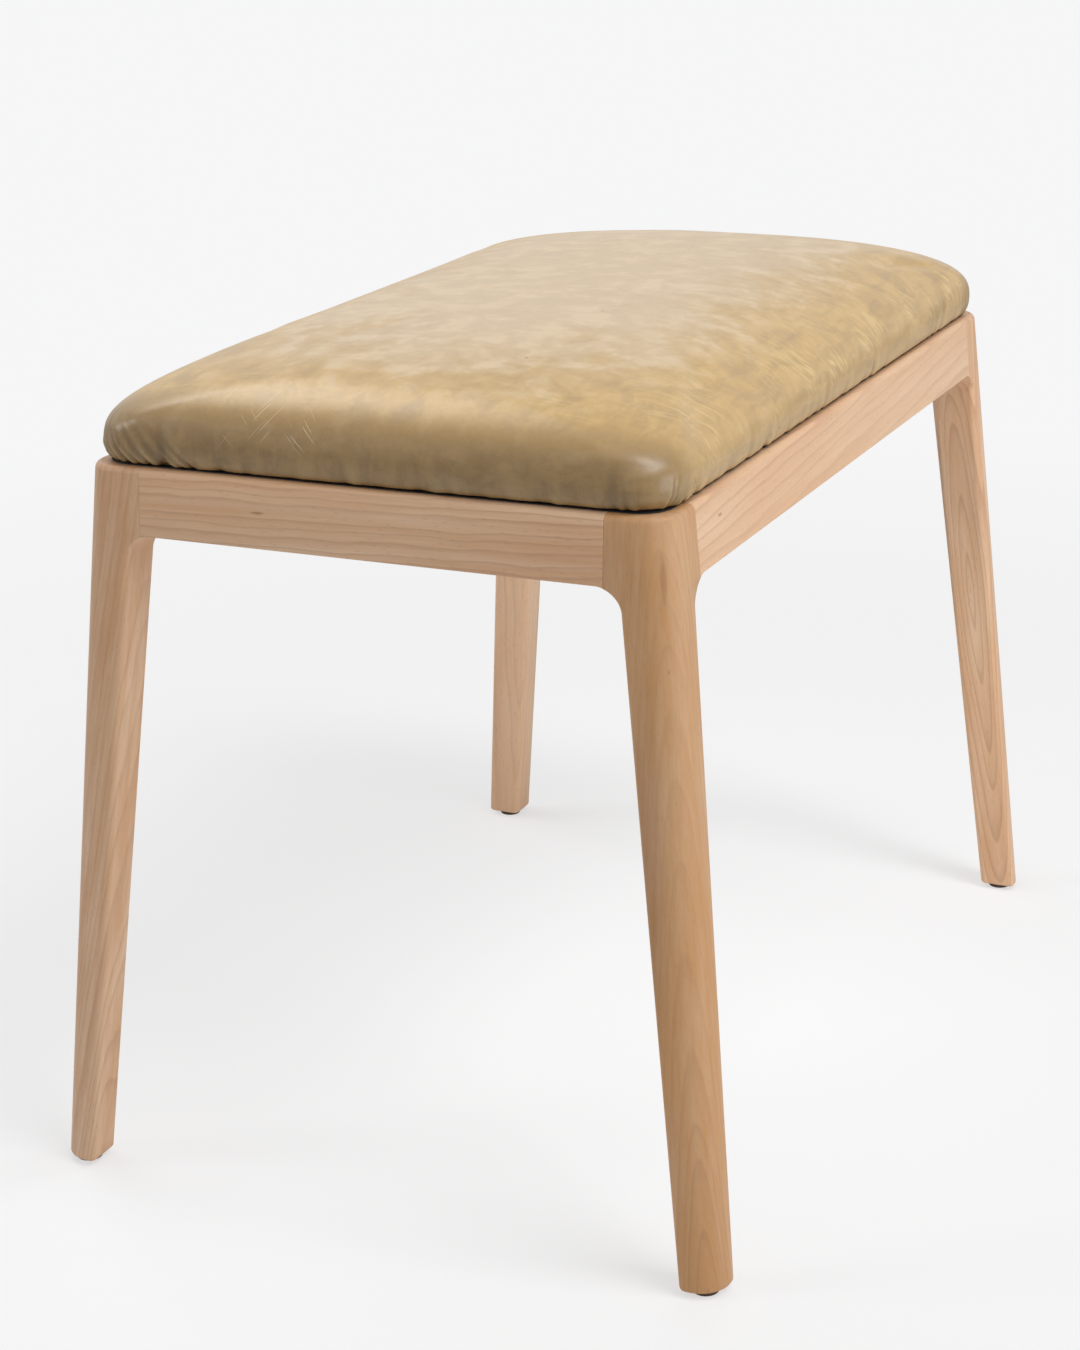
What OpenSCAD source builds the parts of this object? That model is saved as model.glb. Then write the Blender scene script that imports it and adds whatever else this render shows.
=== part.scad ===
// Upholstered fitting stool: four tapered, splayed legs, four rails doweled between
// them, and a crowned leather pad that is screwed on from below.
// X runs along the short side, Y along the long side, and the floor is Z = 0.

/* [Frame] */
// Width of the frame at its top, along X
frame_w = 342; // [320:1:400]
// Length of the frame at its top, along Y
frame_l = 564; // [480:1:700]
// Height of the frame's top above the floor
frame_h = 420; // [380:1:480]
// Height of the rails
rail_h = 37; // [34:1:46]
// Thickness of the rails
rail_t = 21; // [18:1:24]

/* [Legs] */
// Side of the square leg block between two rails
leg_block = 35; // [34:1:40]
// Width of a leg just under the rails
leg_neck = 30.5; // [28:0.5:32]
// Width of a leg at its foot
leg_foot = 24; // [23:0.5:28]
// How far a foot stands out past the frame's top along X
splay_x = 37; // [20:1:45]
// How far a foot stands out past the frame's top along Y
splay_y = 26; // [15:1:45]
// Radius of a leg's outer corner, from its top to its foot
corner_r = 18; // [14:1:19]
// Radius of a leg's other three edges
edge_r = 4; // [2:0.5:4]
// Radius of the hollow between a leg and the underside of a rail
fillet_r = 14; // [11:1:16]
// Radius of the frame's top outer edge
top_ease = 3.5; // [2:0.5:4]
// Radius of the edge round a leg's sole
foot_ease = 2; // [1:0.5:3]

/* [Joints] */
// Diameter of a dowel
dowel_d = 8; // [6:1:8]
// Length of a dowel, half of it in each piece
dowel_l = 34; // [28:1:36]
// Height between the two dowels of one joint
dowel_pitch = 17; // [14:1:18]
// Length of a corner block's arm along a rail
block_arm = 60; // [56:1:75]
// Thickness of a corner block's arm
block_t = 14; // [12:1:16]
// Height of a corner block
block_h = 24; // [20:1:28]

/* [Screws] */
// Shank diameter of the corner block screws
block_screw_d = 4; // [3.5:0.5:4.5]
// Length of the corner block screws
block_screw_l = 28; // [24:1:30]
// Shank diameter of the seat screws
seat_screw_d = 4.5; // [4:0.5:5]
// Length of the seat screws
seat_screw_l = 35; // [32:1:36]

/* [Pad] */
// Height of the pad from its underside to its crown
pad_h = 58; // [50:1:75]
// How far the pad's widest line stays inside the frame's outline
pad_inset = 1.5; // [1:0.5:6]
// Height of the pad's widest line above its underside
pad_bulge_h = 14; // [12:1:20]
// How far the pad draws in from its widest line to its underside
pad_roll = 5; // [4:0.5:7]
// How far in from its widest line the pad keeps rising
pad_dome = 140; // [90:1:142]
// Fullness of the pad's shoulder, where 2 is an ellipse
pad_fullness = 2.2; // [2:0.1:2.8]
// Corner radius of the pad's widest line
pad_corner_r = 22; // [18:1:40]
// Thickness of the seat board
board_t = 12; // [10:1:15]
// Thickness of the leather
leather_t = 1.2; // [1:0.1:1.6]
// Width of the leather turned under the seat board
turn_under = 24; // [18:1:26]
// Thickness of the lining under the seat
lining_t = 0.5; // [0.4:0.1:0.8]

/* [Feet] */
// Diameter of a glide
glide_d = 15; // [12:1:16]
// Height of a glide
glide_h = 3.5; // [3:0.5:6]
// Diameter of a glide's nail
nail_d = 2.4; // [2:0.2:2.8]
// Length of a glide's nail
nail_l = 18; // [14:1:22]

/* [Hidden] */

LEFT = -1;
RIGHT = 1;
FRONT = -1;
BACK = 1;
quarter = 90;
half_w = frame_w / 2;
half_l = frame_l / 2;
round_fn = 32;

// Clearances, shared by every piece that meets another
bore_gap = 0.1;
bore_spare = 1;
block_gap = 0.3;
foam_gap = 0.2;
overrun = 1;

// Legs and rails
rail_z = frame_h - rail_h;
joint_x = half_w - leg_block;
joint_y = half_l - leg_block;
joint_edge_r = 0.3;
corner_steps = 12;
edge_steps = 3;
fillet_steps = 8;
ease_steps = 4;
leg_taper = (leg_neck - leg_foot) / rail_z;

// Dowels
dowel_chamfer = 1;
dowel_z_places = [rail_z + (rail_h - dowel_pitch) / 2, rail_z + (rail_h + dowel_pitch) / 2];

// Corner blocks, measured in from the frame's outline
block_notch = leg_block + block_gap;
block_end = rail_t + block_arm;
block_inner = rail_t + block_t;
block_web = 30;
block_web_end = block_inner + block_web;
block_top = frame_h - block_gap;
block_screw_place = (block_end + block_web_end) / 2;
block_screw_z = block_top - block_h / 2;
seat_screw_place = (2 * block_notch + block_inner + block_web_end) / 4;
screw_head_share = 2;
block_screw_head_d = screw_head_share * block_screw_d;
seat_screw_head_d = screw_head_share * seat_screw_d;
screw_point_share = 1.2;

// Pad
pad_z = frame_h + lining_t;
board_z = pad_z + leather_t;
board_inset = pad_inset + pad_roll + leather_t + 3 * foam_gap;
board_corner_r = pad_corner_r - pad_roll;
pad_corner_growth_share = 0.25;
pad_slim_share = 0.98;
pad_corner_steps = 8;
roll_steps = 4;
dome_steps = 10;
turn_under_inset = pad_inset + pad_roll + turn_under;
turn_under_corner_r = 12;
lining_inset = pad_inset + pad_roll + foam_gap;
lining_hole_d = seat_screw_d + 2 * bore_spare;

// Staples
staple_w = 10;
staple_wire_w = 1.2;
staple_wire_t = 0.5;
staple_leg = 8;
staple_gap = 0.05;
staple_inset = pad_inset + pad_roll + turn_under / 2;
staple_pitch = 60;
staple_end = 46;

// Glides
glide_place = leg_foot / 2 + foot_ease / 2;
glide_ease = 1;
nail_head_d = 6;
nail_head_t = 1;
nail_point = 3;

// Carries its children from the back right corner to the named one.
module to_corner(side, end) {
    if (side == RIGHT && end == BACK)
        children();
    else if (side == LEFT && end == BACK)
        mirror([1, 0, 0]) children();
    else if (side == RIGHT)
        mirror([0, 1, 0]) children();
    else
        mirror([1, 0, 0]) mirror([0, 1, 0]) children();
}

module to_all_corners() {
    for (side = [LEFT, RIGHT], end = [FRONT, BACK])
        to_corner(side, end) children();
}

// Places its children in from the frame's outline at the back right corner.
module from_outline(in_x, in_y, z) {
    translate([half_w - in_x, half_l - in_y, z]) children();
}

// One arc of a ring, seen from above.
function arc(centre, r, start, steps) = [
    for (k = [0 : steps])
        let (a = start + k * quarter / steps)
        [centre[0] + r * cos(a), centre[1] + r * sin(a)]
];

function lift(outline, z) = [for (p = outline) [p[0], p[1], z]];

// A closed solid through a stack of rings with equally many points.
module loft(rings) {
    n = len(rings[0]);
    last = (len(rings) - 1) * n;
    points = [for (ring = rings) each ring];
    sides = [
        for (k = [0 : len(rings) - 2], i = [0 : n - 1])
            let (a = k * n + i, b = k * n + (i + 1) % n)
            each [[a, b + n, b], [a, a + n, b + n]]
    ];
    caps = [for (i = [1 : n - 2]) each [[0, i, i + 1], [last, last + i + 1, last + i]]];
    polyhedron(points = points, faces = concat(sides, caps), convexity = 4);
}

module rounded_rect(w, l, r) {
    square([w - 2 * r, l], center = true);
    square([w, l - 2 * r], center = true);
    for (sx = [-1, 1], sy = [-1, 1])
        translate([sx * (w / 2 - r), sy * (l / 2 - r)])
            circle(r, $fn = 2 * round_fn);
}

// A leg's faces. Each coordinate is taken from the stool's centre along X or along Y:
// half is half of the frame's side there, and splay is the foot's reach.
function outer_face(half, splay, z) = half + splay * (1 - z / frame_h);
function inner_plane(half, splay, z) = outer_face(half, splay, z) - leg_foot - leg_taper * z;
function inner_angle(splay) = atan(splay / frame_h + leg_taper);
function fillet_place(half, splay) =
    inner_plane(half, splay, rail_z) - fillet_r * tan((quarter - inner_angle(splay)) / 2);
fillet_z = rail_z - fillet_r;
function fillet_face(half, splay, z) =
    fillet_place(half, splay) + sqrt(max(0, pow(fillet_r, 2) - pow(z - fillet_z, 2)));
function inner_face(half, splay, z) =
    z <= fillet_z + fillet_r * sin(inner_angle(splay)) ? inner_plane(half, splay, z)
    : z < rail_z ? max(half - leg_block, fillet_face(half, splay, z))
    : half - leg_block;
// Height at which the hollow of a leg runs on into the rail beside it
function fillet_end_z(half, splay) =
    fillet_z + sqrt(pow(fillet_r, 2) - pow(half - leg_block - fillet_place(half, splay), 2));

// One level of a leg: its height, how far its outer and inner faces are eased in,
// and the radius of its three inner edges.
function leg_ring(z, ease_out, ease_in, r) =
    let (
        xo = outer_face(half_w, splay_x, z) - ease_out,
        yo = outer_face(half_l, splay_y, z) - ease_out,
        xi = inner_face(half_w, splay_x, z) + ease_in,
        yi = inner_face(half_l, splay_y, z) + ease_in,
        big = corner_r - ease_out
    )
    lift(concat(
        arc([xo - big, yo - big], big, 0, corner_steps),
        arc([xi + r, yo - r], r, quarter, edge_steps),
        arc([xi + r, yi + r], r, 2 * quarter, edge_steps),
        arc([xo - r, yi + r], r, 3 * quarter, edge_steps)
    ), z);

fillet_start_z = fillet_z + fillet_r * sin(inner_angle(min(splay_x, splay_y)));
fillet_ends = [fillet_end_z(half_w, splay_x), fillet_end_z(half_l, splay_y)];
fillet_top_share = 0.98;
function inner_edge_r(z) =
    edge_r + (joint_edge_r - edge_r) * max(0, min(1, (z - fillet_start_z) / (min(fillet_ends) - fillet_start_z)));

leg_levels = [
    for (k = [0 : ease_steps])
        let (a = k * quarter / ease_steps, e = foot_ease * (1 - sin(a)))
        [glide_h + foot_ease * (1 - cos(a)), e, e, edge_r - e],
    for (k = [0 : fillet_steps])
        let (
            reach = min(fillet_ends) - fillet_start_z,
            z = fillet_start_z + fillet_top_share * reach * sin(k * quarter / fillet_steps)
        )
        [z, 0, 0, inner_edge_r(z)],
    [min(fillet_ends), 0, 0, joint_edge_r],
    [max(fillet_ends), 0, 0, joint_edge_r],
    for (k = [0 : ease_steps])
        let (a = k * quarter / ease_steps)
        [frame_h - top_ease * (1 - sin(a)), top_ease * (1 - cos(a)), 0, joint_edge_r]
];

// Bores in the back right leg, for the dowels of its two rails and the nail below.
module leg_bores() {
    for (z = dowel_z_places) {
        translate([joint_x, half_l - rail_t / 2, z])
            rotate([0, quarter, 0])
                cylinder(d = dowel_d + 2 * bore_gap, h = dowel_l + 2 * bore_spare, center = true, $fn = round_fn);
        translate([half_w - rail_t / 2, joint_y, z])
            rotate([quarter, 0, 0])
                cylinder(d = dowel_d + 2 * bore_gap, h = dowel_l + 2 * bore_spare, center = true, $fn = round_fn);
    }
    at_foot()
        cylinder(d = nail_d + 2 * bore_gap, h = nail_l + bore_spare, $fn = round_fn);
}

// Places its children at the back right glide's centre, on the floor.
module at_foot() {
    translate([
        outer_face(half_w, splay_x, glide_h) - glide_place,
        outer_face(half_l, splay_y, glide_h) - glide_place,
        0
    ])
        children();
}

module leg(side, end) {
    color("burlywood")
        to_corner(side, end)
            difference() {
                loft([for (v = leg_levels) leg_ring(v[0], v[1], v[2], v[3])]);
                leg_bores();
            }
}

// A rail's cross-section, with its outer face flush with the legs on each side.
module rail_section(half, splay) {
    polygon(concat(
        [[half - rail_t, frame_h], [half - rail_t, fillet_z], [outer_face(half, splay, fillet_z), fillet_z]],
        [
            for (k = [0 : ease_steps])
                let (
                    a = k * quarter / ease_steps,
                    z = frame_h - top_ease * (1 - sin(a))
                )
                [outer_face(half, splay, z) - top_ease * (1 - cos(a)), z]
        ]
    ));
}

// A rail seen square on: straight below, with the ends of the legs' hollows.
module rail_front(joint, hollow) {
    difference() {
        translate([-joint, fillet_z])
            square([2 * joint, frame_h - fillet_z]);
        translate([-hollow, fillet_z - overrun])
            square([2 * hollow, fillet_r + overrun]);
        for (sx = [-1, 1])
            translate([sx * hollow, fillet_z])
                circle(fillet_r, $fn = 2 * round_fn);
    }
}

// A rail along X, on the +Y side. joint is half of its length.
module rail_shape(joint, hollow, half, splay) {
    intersection() {
        rotate([quarter, 0, quarter])
            linear_extrude(2 * joint, center = true)
                rail_section(half, splay);
        rotate([quarter, 0, 0])
            linear_extrude(3 * half, center = true)
                rail_front(joint, hollow);
    }
}

module rail_bores(joint, half) {
    for (sx = [-1, 1]) {
        for (z = dowel_z_places)
            translate([sx * joint, half - rail_t / 2, z])
                rotate([0, quarter, 0])
                    cylinder(d = dowel_d + 2 * bore_gap, h = dowel_l + 2 * bore_spare, center = true, $fn = round_fn);
        translate([sx * (joint + leg_block - block_screw_place), half - block_inner, block_screw_z])
            rotate([-quarter, 0, 0])
                cylinder(d = block_screw_d + 2 * bore_gap, h = block_screw_l + bore_spare, $fn = round_fn);
    }
}

module end_rail(end) {
    color("burlywood")
        to_corner(RIGHT, end)
            difference() {
                rail_shape(joint_x, fillet_place(half_w, splay_x), half_l, splay_y);
                rail_bores(joint_x, half_l);
            }
}

module side_rail(side) {
    color("burlywood")
        rotate([0, 0, side == RIGHT ? -quarter : quarter])
            difference() {
                rail_shape(joint_y, fillet_place(half_l, splay_y), half_w, splay_x);
                rail_bores(joint_y, half_w);
            }
}

// A dowel along Z, centred, with both ends chamfered.
module dowel() {
    rotate_extrude($fn = round_fn)
        polygon([
            [0, -dowel_l / 2],
            [dowel_d / 2 - dowel_chamfer, -dowel_l / 2],
            [dowel_d / 2, dowel_chamfer - dowel_l / 2],
            [dowel_d / 2, dowel_l / 2 - dowel_chamfer],
            [dowel_d / 2 - dowel_chamfer, dowel_l / 2],
            [0, dowel_l / 2]
        ]);
}

module rail_dowels() {
    color("tan")
        to_all_corners()
            for (z = dowel_z_places) {
                translate([joint_x, half_l - rail_t / 2, z])
                    rotate([0, quarter, 0])
                        dowel();
                translate([half_w - rail_t / 2, joint_y, z])
                    rotate([quarter, 0, 0])
                        dowel();
            }
}

// A countersunk wood screw along +Z, its head's face at Z = 0.
module wood_screw(d, l, head_d) {
    rotate_extrude($fn = round_fn)
        polygon([
            [0, 0],
            [head_d / 2, 0],
            [d / 2, (head_d - d) / 2],
            [d / 2, l - screw_point_share * d],
            [0, l]
        ]);
}

// The hole that such a screw passes, with its countersink.
module screw_hole(d, l, head_d) {
    translate([0, 0, -overrun])
        cylinder(d = d + 2 * bore_gap, h = l + 2 * overrun, $fn = round_fn);
    rotate_extrude($fn = round_fn)
        polygon([
            [0, -overrun],
            [head_d / 2 + bore_gap, -overrun],
            [head_d / 2 + bore_gap, 0],
            [d / 2 + bore_gap, (head_d - d) / 2],
            [0, (head_d - d) / 2]
        ]);
}

// Places its children on a corner block's two screws, pointing out through the rails.
module at_block_screws() {
    from_outline(block_screw_place, block_inner, block_screw_z)
        rotate([-quarter, 0, 0])
            children();
    from_outline(block_inner, block_screw_place, block_screw_z)
        rotate([0, quarter, 0])
            children();
}

module at_seat_screw() {
    from_outline(seat_screw_place, seat_screw_place, block_top - block_h)
        children();
}

module corner_block(side, end) {
    color("tan")
        to_corner(side, end)
            difference() {
                from_outline(0, 0, block_top - block_h)
                    linear_extrude(block_h)
                        polygon([
                            [-rail_t, -block_notch],
                            [-rail_t, -block_end],
                            [-block_inner, -block_end],
                            [-block_inner, -block_web_end],
                            [-block_web_end, -block_inner],
                            [-block_end, -block_inner],
                            [-block_end, -rail_t],
                            [-block_notch, -rail_t],
                            [-block_notch, -block_notch]
                        ]);
                at_block_screws()
                    screw_hole(block_screw_d, block_t, block_screw_head_d);
                at_seat_screw()
                    screw_hole(seat_screw_d, block_h, seat_screw_head_d);
            }
}

module corner_block_screws() {
    color("silver")
        to_all_corners()
            at_block_screws()
                wood_screw(block_screw_d, block_screw_l, block_screw_head_d);
}

module seat_screws() {
    color("silver")
        to_all_corners()
            at_seat_screw()
                wood_screw(seat_screw_d, seat_screw_l, seat_screw_head_d);
}

// A ring of the pad, in from the frame's outline.
function pad_ring(inset, z) =
    let (
        a = half_w - inset,
        b = half_l - inset,
        grown = pad_corner_r + pad_corner_growth_share * (inset - pad_inset),
        r = min(grown, pad_slim_share * a)
    )
    lift(concat(
        arc([a - r, b - r], r, 0, pad_corner_steps),
        arc([r - a, b - r], r, quarter, pad_corner_steps),
        arc([r - a, r - b], r, 2 * quarter, pad_corner_steps),
        arc([a - r, r - b], r, 3 * quarter, pad_corner_steps)
    ), z);

// The pad's crowned form, or the same form under a skin of the given thickness:
// a roll from the underside out to the widest line, then the dome over it.
module pad_form(skin) {
    power = 2 / pad_fullness;
    roll = [
        for (k = [0 : roll_steps])
            let (a = k * quarter / roll_steps)
            pad_ring(
                pad_inset + pad_roll - (pad_roll - skin) * sin(a),
                pad_z + pad_bulge_h - (pad_bulge_h - skin) * cos(a)
            )
    ];
    dome = [
        for (k = [1 : dome_steps])
            let (a = k * quarter / dome_steps)
            pad_ring(
                pad_inset + pad_dome - (pad_dome - skin) * pow(max(0, cos(a)), power),
                pad_z + pad_bulge_h + (pad_h - pad_bulge_h - skin) * pow(sin(a), power)
            )
    ];
    loft(concat(roll, dome));
}

// The seat board's outline, grown by a clearance.
module board_outline(gap) {
    rounded_rect(
        frame_w - 2 * board_inset + 2 * gap,
        frame_l - 2 * board_inset + 2 * gap,
        board_corner_r + gap
    );
}

module seat_board() {
    color("wheat")
        difference() {
            translate([0, 0, board_z])
                linear_extrude(board_t)
                    board_outline(0);
            to_all_corners()
                at_seat_screw()
                    cylinder(d = seat_screw_d + 2 * bore_gap, h = seat_screw_l + bore_spare, $fn = round_fn);
            all_staples(staple_gap);
        }
}

module foam_pad() {
    color("lemonchiffon")
        difference() {
            pad_form(leather_t + foam_gap);
            translate([0, 0, pad_z])
                linear_extrude(leather_t + board_t)
                    board_outline(foam_gap);
        }
}

module leather_cover() {
    color("darkkhaki")
        difference() {
            pad_form(0);
            pad_form(leather_t);
            translate([0, 0, pad_z - overrun])
                linear_extrude(leather_t + 2 * overrun)
                    rounded_rect(
                        frame_w - 2 * turn_under_inset,
                        frame_l - 2 * turn_under_inset,
                        turn_under_corner_r
                    );
            all_staples(staple_gap);
        }
}

// A staple under Z = 0, its crown along X. gap grows it into the slot that it fills.
module staple(gap) {
    translate([-staple_w / 2 - gap, -staple_wire_w / 2 - gap, -gap])
        cube([staple_w + 2 * gap, staple_wire_w + 2 * gap, staple_wire_t + 2 * gap]);
    for (sx = [-1, 1])
        translate([
            sx * (staple_w - staple_wire_t) / 2 - staple_wire_t / 2 - gap,
            -staple_wire_w / 2 - gap,
            -gap
        ])
            cube([staple_wire_t + 2 * gap, staple_wire_w + 2 * gap, staple_leg + 2 * gap]);
}

// Staples along one side of the seat board, evenly from corner to corner.
module staple_row(half_run, half_across, gap) {
    reach = half_run - staple_end;
    count = round(2 * reach / staple_pitch);
    for (k = [0 : count])
        translate([-reach + k * 2 * reach / count, half_across - staple_inset, pad_z])
            staple(gap);
}

module all_staples(gap) {
    for (turn = [0, 2])
        rotate([0, 0, turn * quarter]) {
            staple_row(half_w, half_l, gap);
            rotate([0, 0, quarter])
                staple_row(half_l, half_w, gap);
        }
}

module cover_staples() {
    color("silver")
        all_staples(0);
}

module under_lining() {
    color("dimgray")
        difference() {
            translate([0, 0, frame_h])
                linear_extrude(lining_t)
                    rounded_rect(
                        frame_w - 2 * lining_inset,
                        frame_l - 2 * lining_inset,
                        board_corner_r
                    );
            to_all_corners()
                from_outline(seat_screw_place, seat_screw_place, frame_h - overrun)
                    cylinder(d = lining_hole_d, h = lining_t + 2 * overrun, $fn = round_fn);
        }
}

// A round glide with a rounded lower edge and a recess for its nail's head.
module glide(side, end) {
    color("saddlebrown")
        to_corner(side, end)
            at_foot()
                rotate_extrude($fn = 2 * round_fn)
                    difference() {
                        union() {
                            translate([0, glide_ease])
                                square([glide_d / 2, glide_h - glide_ease]);
                            square([glide_d / 2 - glide_ease, glide_ease]);
                            translate([glide_d / 2 - glide_ease, glide_ease])
                                circle(glide_ease, $fn = round_fn);
                        }
                        square([nail_head_d / 2 + bore_gap, nail_head_t + bore_gap]);
                        square([nail_d / 2 + bore_gap, glide_h]);
                    }
}

module glide_nails() {
    color("silver")
        to_all_corners()
            at_foot()
                translate([0, 0, bore_gap])
                    rotate_extrude($fn = round_fn)
                        polygon([
                            [0, 0],
                            [nail_head_d / 2, 0],
                            [nail_head_d / 2, nail_head_t],
                            [nail_d / 2, nail_head_t],
                            [nail_d / 2, nail_l - nail_point],
                            [0, nail_l]
                        ]);
}

leg(LEFT, FRONT);  // front_left_leg
leg(RIGHT, FRONT);  // front_right_leg
leg(LEFT, BACK);  // back_left_leg
leg(RIGHT, BACK);  // back_right_leg
end_rail(FRONT);  // front_rail
end_rail(BACK);  // back_rail
side_rail(LEFT);  // left_rail
side_rail(RIGHT);  // right_rail
rail_dowels();
corner_block(LEFT, FRONT);  // front_left_corner_block
corner_block(RIGHT, FRONT);  // front_right_corner_block
corner_block(LEFT, BACK);  // back_left_corner_block
corner_block(RIGHT, BACK);  // back_right_corner_block
corner_block_screws();
seat_screws();
seat_board();
foam_pad();
leather_cover();
cover_staples();
under_lining();
glide(LEFT, FRONT);  // front_left_glide
glide(RIGHT, FRONT);  // front_right_glide
glide(LEFT, BACK);  // back_left_glide
glide(RIGHT, BACK);  // back_right_glide
glide_nails();
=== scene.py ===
# %% [markdown]
# # An upholstered fitting stool
#
# The stool is a beech frame with four splayed legs, four rails between them, and a crowned pad in mottled
# leather on top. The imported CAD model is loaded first, and everything here is built around it in metres:
# Z is up, Y runs along the stool and the camera stands in front of the front right leg.

import math

import bmesh
import bpy
import numpy as np
from mathutils import Matrix, Vector


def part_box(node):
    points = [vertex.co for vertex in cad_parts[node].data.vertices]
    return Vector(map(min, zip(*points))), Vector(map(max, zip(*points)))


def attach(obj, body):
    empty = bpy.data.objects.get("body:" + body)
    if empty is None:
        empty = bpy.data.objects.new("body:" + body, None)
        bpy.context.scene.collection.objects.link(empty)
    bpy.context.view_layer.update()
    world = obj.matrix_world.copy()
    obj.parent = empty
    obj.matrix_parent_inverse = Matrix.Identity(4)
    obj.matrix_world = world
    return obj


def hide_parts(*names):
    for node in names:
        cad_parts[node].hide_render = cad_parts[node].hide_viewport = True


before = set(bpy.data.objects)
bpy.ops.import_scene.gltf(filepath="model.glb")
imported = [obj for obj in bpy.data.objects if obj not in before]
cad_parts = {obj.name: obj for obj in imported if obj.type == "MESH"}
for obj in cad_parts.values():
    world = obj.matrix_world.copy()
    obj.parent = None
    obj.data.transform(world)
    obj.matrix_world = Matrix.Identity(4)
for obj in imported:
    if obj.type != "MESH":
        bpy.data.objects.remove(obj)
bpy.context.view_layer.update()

BODY = "root"

# %% [markdown]
# ## The camera
#
# A photograph's edges tell where its camera stood. The stool's joints, feet and pad were measured in the
# picture, and the place, turn and lens that bring the model's points closest to them were found. Guessing
# by eye is quicker, but then every later comparison of shapes is in doubt. There is no lens shift, so the
# other views stay centred on the stool.

# %% Camera
CAMERA_PLACE = Vector((0.64915, -1.47360, 0.77682))
CAMERA_YAW = math.radians(-24.767)
CAMERA_PITCH = math.radians(18.745)
CAMERA_ROLL = math.radians(1.281)
CAMERA_LENS = 72.01
SENSOR = 36.0


def make_camera():
    forward = Vector(
        (
            math.sin(CAMERA_YAW) * math.cos(CAMERA_PITCH),
            math.cos(CAMERA_YAW) * math.cos(CAMERA_PITCH),
            -math.sin(CAMERA_PITCH),
        )
    )
    right = Vector((math.cos(CAMERA_YAW), -math.sin(CAMERA_YAW), 0))
    down = forward.cross(right)
    rolled_right = right * math.cos(CAMERA_ROLL) + down * math.sin(CAMERA_ROLL)
    rolled_down = -right * math.sin(CAMERA_ROLL) + down * math.cos(CAMERA_ROLL)
    turn = Matrix((rolled_right, -rolled_down, -forward)).transposed()
    data = bpy.data.cameras.new("camera")
    data.sensor_width = SENSOR
    data.lens = CAMERA_LENS
    camera = bpy.data.objects.new("camera", data)
    bpy.context.scene.collection.objects.link(camera)
    camera.matrix_world = Matrix.Translation(CAMERA_PLACE) @ turn.to_4x4()
    bpy.context.scene.camera = camera
    return camera


camera = make_camera()
print("camera at", [round(v, 3) for v in camera.location], "lens", CAMERA_LENS)

# %% [markdown]
# ## Helpers for modelling and for nodes
#
# Blender's modelling operators act on whatever is selected in the object being edited. Choosing faces and
# edges by hand needs a mouse, so here they are chosen in code by their place. A node material is a graph,
# and two short functions add a node and join it to others.

# %% Selecting in edit mode
TOUCH = 2e-5


def begin(obj):
    """Makes obj the only selected object and opens it for editing."""
    if bpy.context.mode != "OBJECT":
        bpy.ops.object.mode_set(mode="OBJECT")
    bpy.ops.object.select_all(action="DESELECT")
    obj.select_set(True)
    bpy.context.view_layer.objects.active = obj
    bpy.ops.object.mode_set(mode="EDIT")


def end():
    bpy.ops.object.mode_set(mode="OBJECT")


def pick(test):
    """Selects the vertices that pass the test, and the edges and faces between them."""
    mesh = bpy.context.object.data
    bpy.ops.mesh.select_mode(type="VERT")
    bpy.ops.mesh.select_all(action="DESELECT")
    shape = bmesh.from_edit_mesh(mesh)
    for v in shape.verts:
        v.select = bool(test(v.co))
    shape.select_flush_mode()
    bmesh.update_edit_mesh(mesh)


def start_piece(name):
    """An empty mesh object at the origin, open for editing."""
    if bpy.context.mode != "OBJECT":
        bpy.ops.object.mode_set(mode="OBJECT")
    obj = bpy.data.objects.new(name, bpy.data.meshes.new(name))
    bpy.context.scene.collection.objects.link(obj)
    begin(obj)
    return obj


def apply_modifier(obj, kind, **settings):
    if bpy.context.mode != "OBJECT":
        end()
    bpy.ops.object.select_all(action="DESELECT")
    obj.select_set(True)
    bpy.context.view_layer.objects.active = obj
    modifier = obj.modifiers.new(kind.lower(), kind)
    for key, value in settings.items():
        setattr(modifier, key, value)
    bpy.ops.object.modifier_apply(modifier=modifier.name)


def mirrored(obj, name, across_x, across_y):
    """A copy of obj with its own mesh, mirrored across the stool's middle and turned right side out."""
    copy = obj.copy()
    copy.data = obj.data.copy()
    copy.name = copy.data.name = name
    bpy.context.scene.collection.objects.link(copy)
    copy.data.transform(Matrix.Diagonal((-1 if across_x else 1, -1 if across_y else 1, 1, 1)))
    if across_x != across_y:
        begin(copy)
        bpy.ops.mesh.select_all(action="SELECT")
        bpy.ops.mesh.flip_normals()
        end()
    return copy


# %% Nodes


def new_material(name):
    material = bpy.data.materials.new(name)
    material.use_nodes = True
    tree = material.node_tree
    shader = tree.nodes["Principled BSDF"]
    return material, tree, shader


def put(tree, kind, **inputs):
    """Adds a node. A number or colour is set on the input of that name, and a socket is joined to it."""
    node = tree.nodes.new("ShaderNode" + kind)
    for name, value in inputs.items():
        key = name.replace("_", " ")
        if hasattr(node, name) and not name[0].isupper():
            setattr(node, name, value)
        elif isinstance(value, bpy.types.NodeSocket):
            tree.links.new(value, node.inputs[key])
        else:
            node.inputs[key].default_value = value
    return node


def calc(tree, operation, *values):
    """A Math node's result. The values are sockets or numbers."""
    node = tree.nodes.new("ShaderNodeMath")
    node.operation = operation
    for k, value in enumerate(values):
        if isinstance(value, bpy.types.NodeSocket):
            tree.links.new(value, node.inputs[k])
        else:
            node.inputs[k].default_value = value
    return node.outputs[0]


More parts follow.
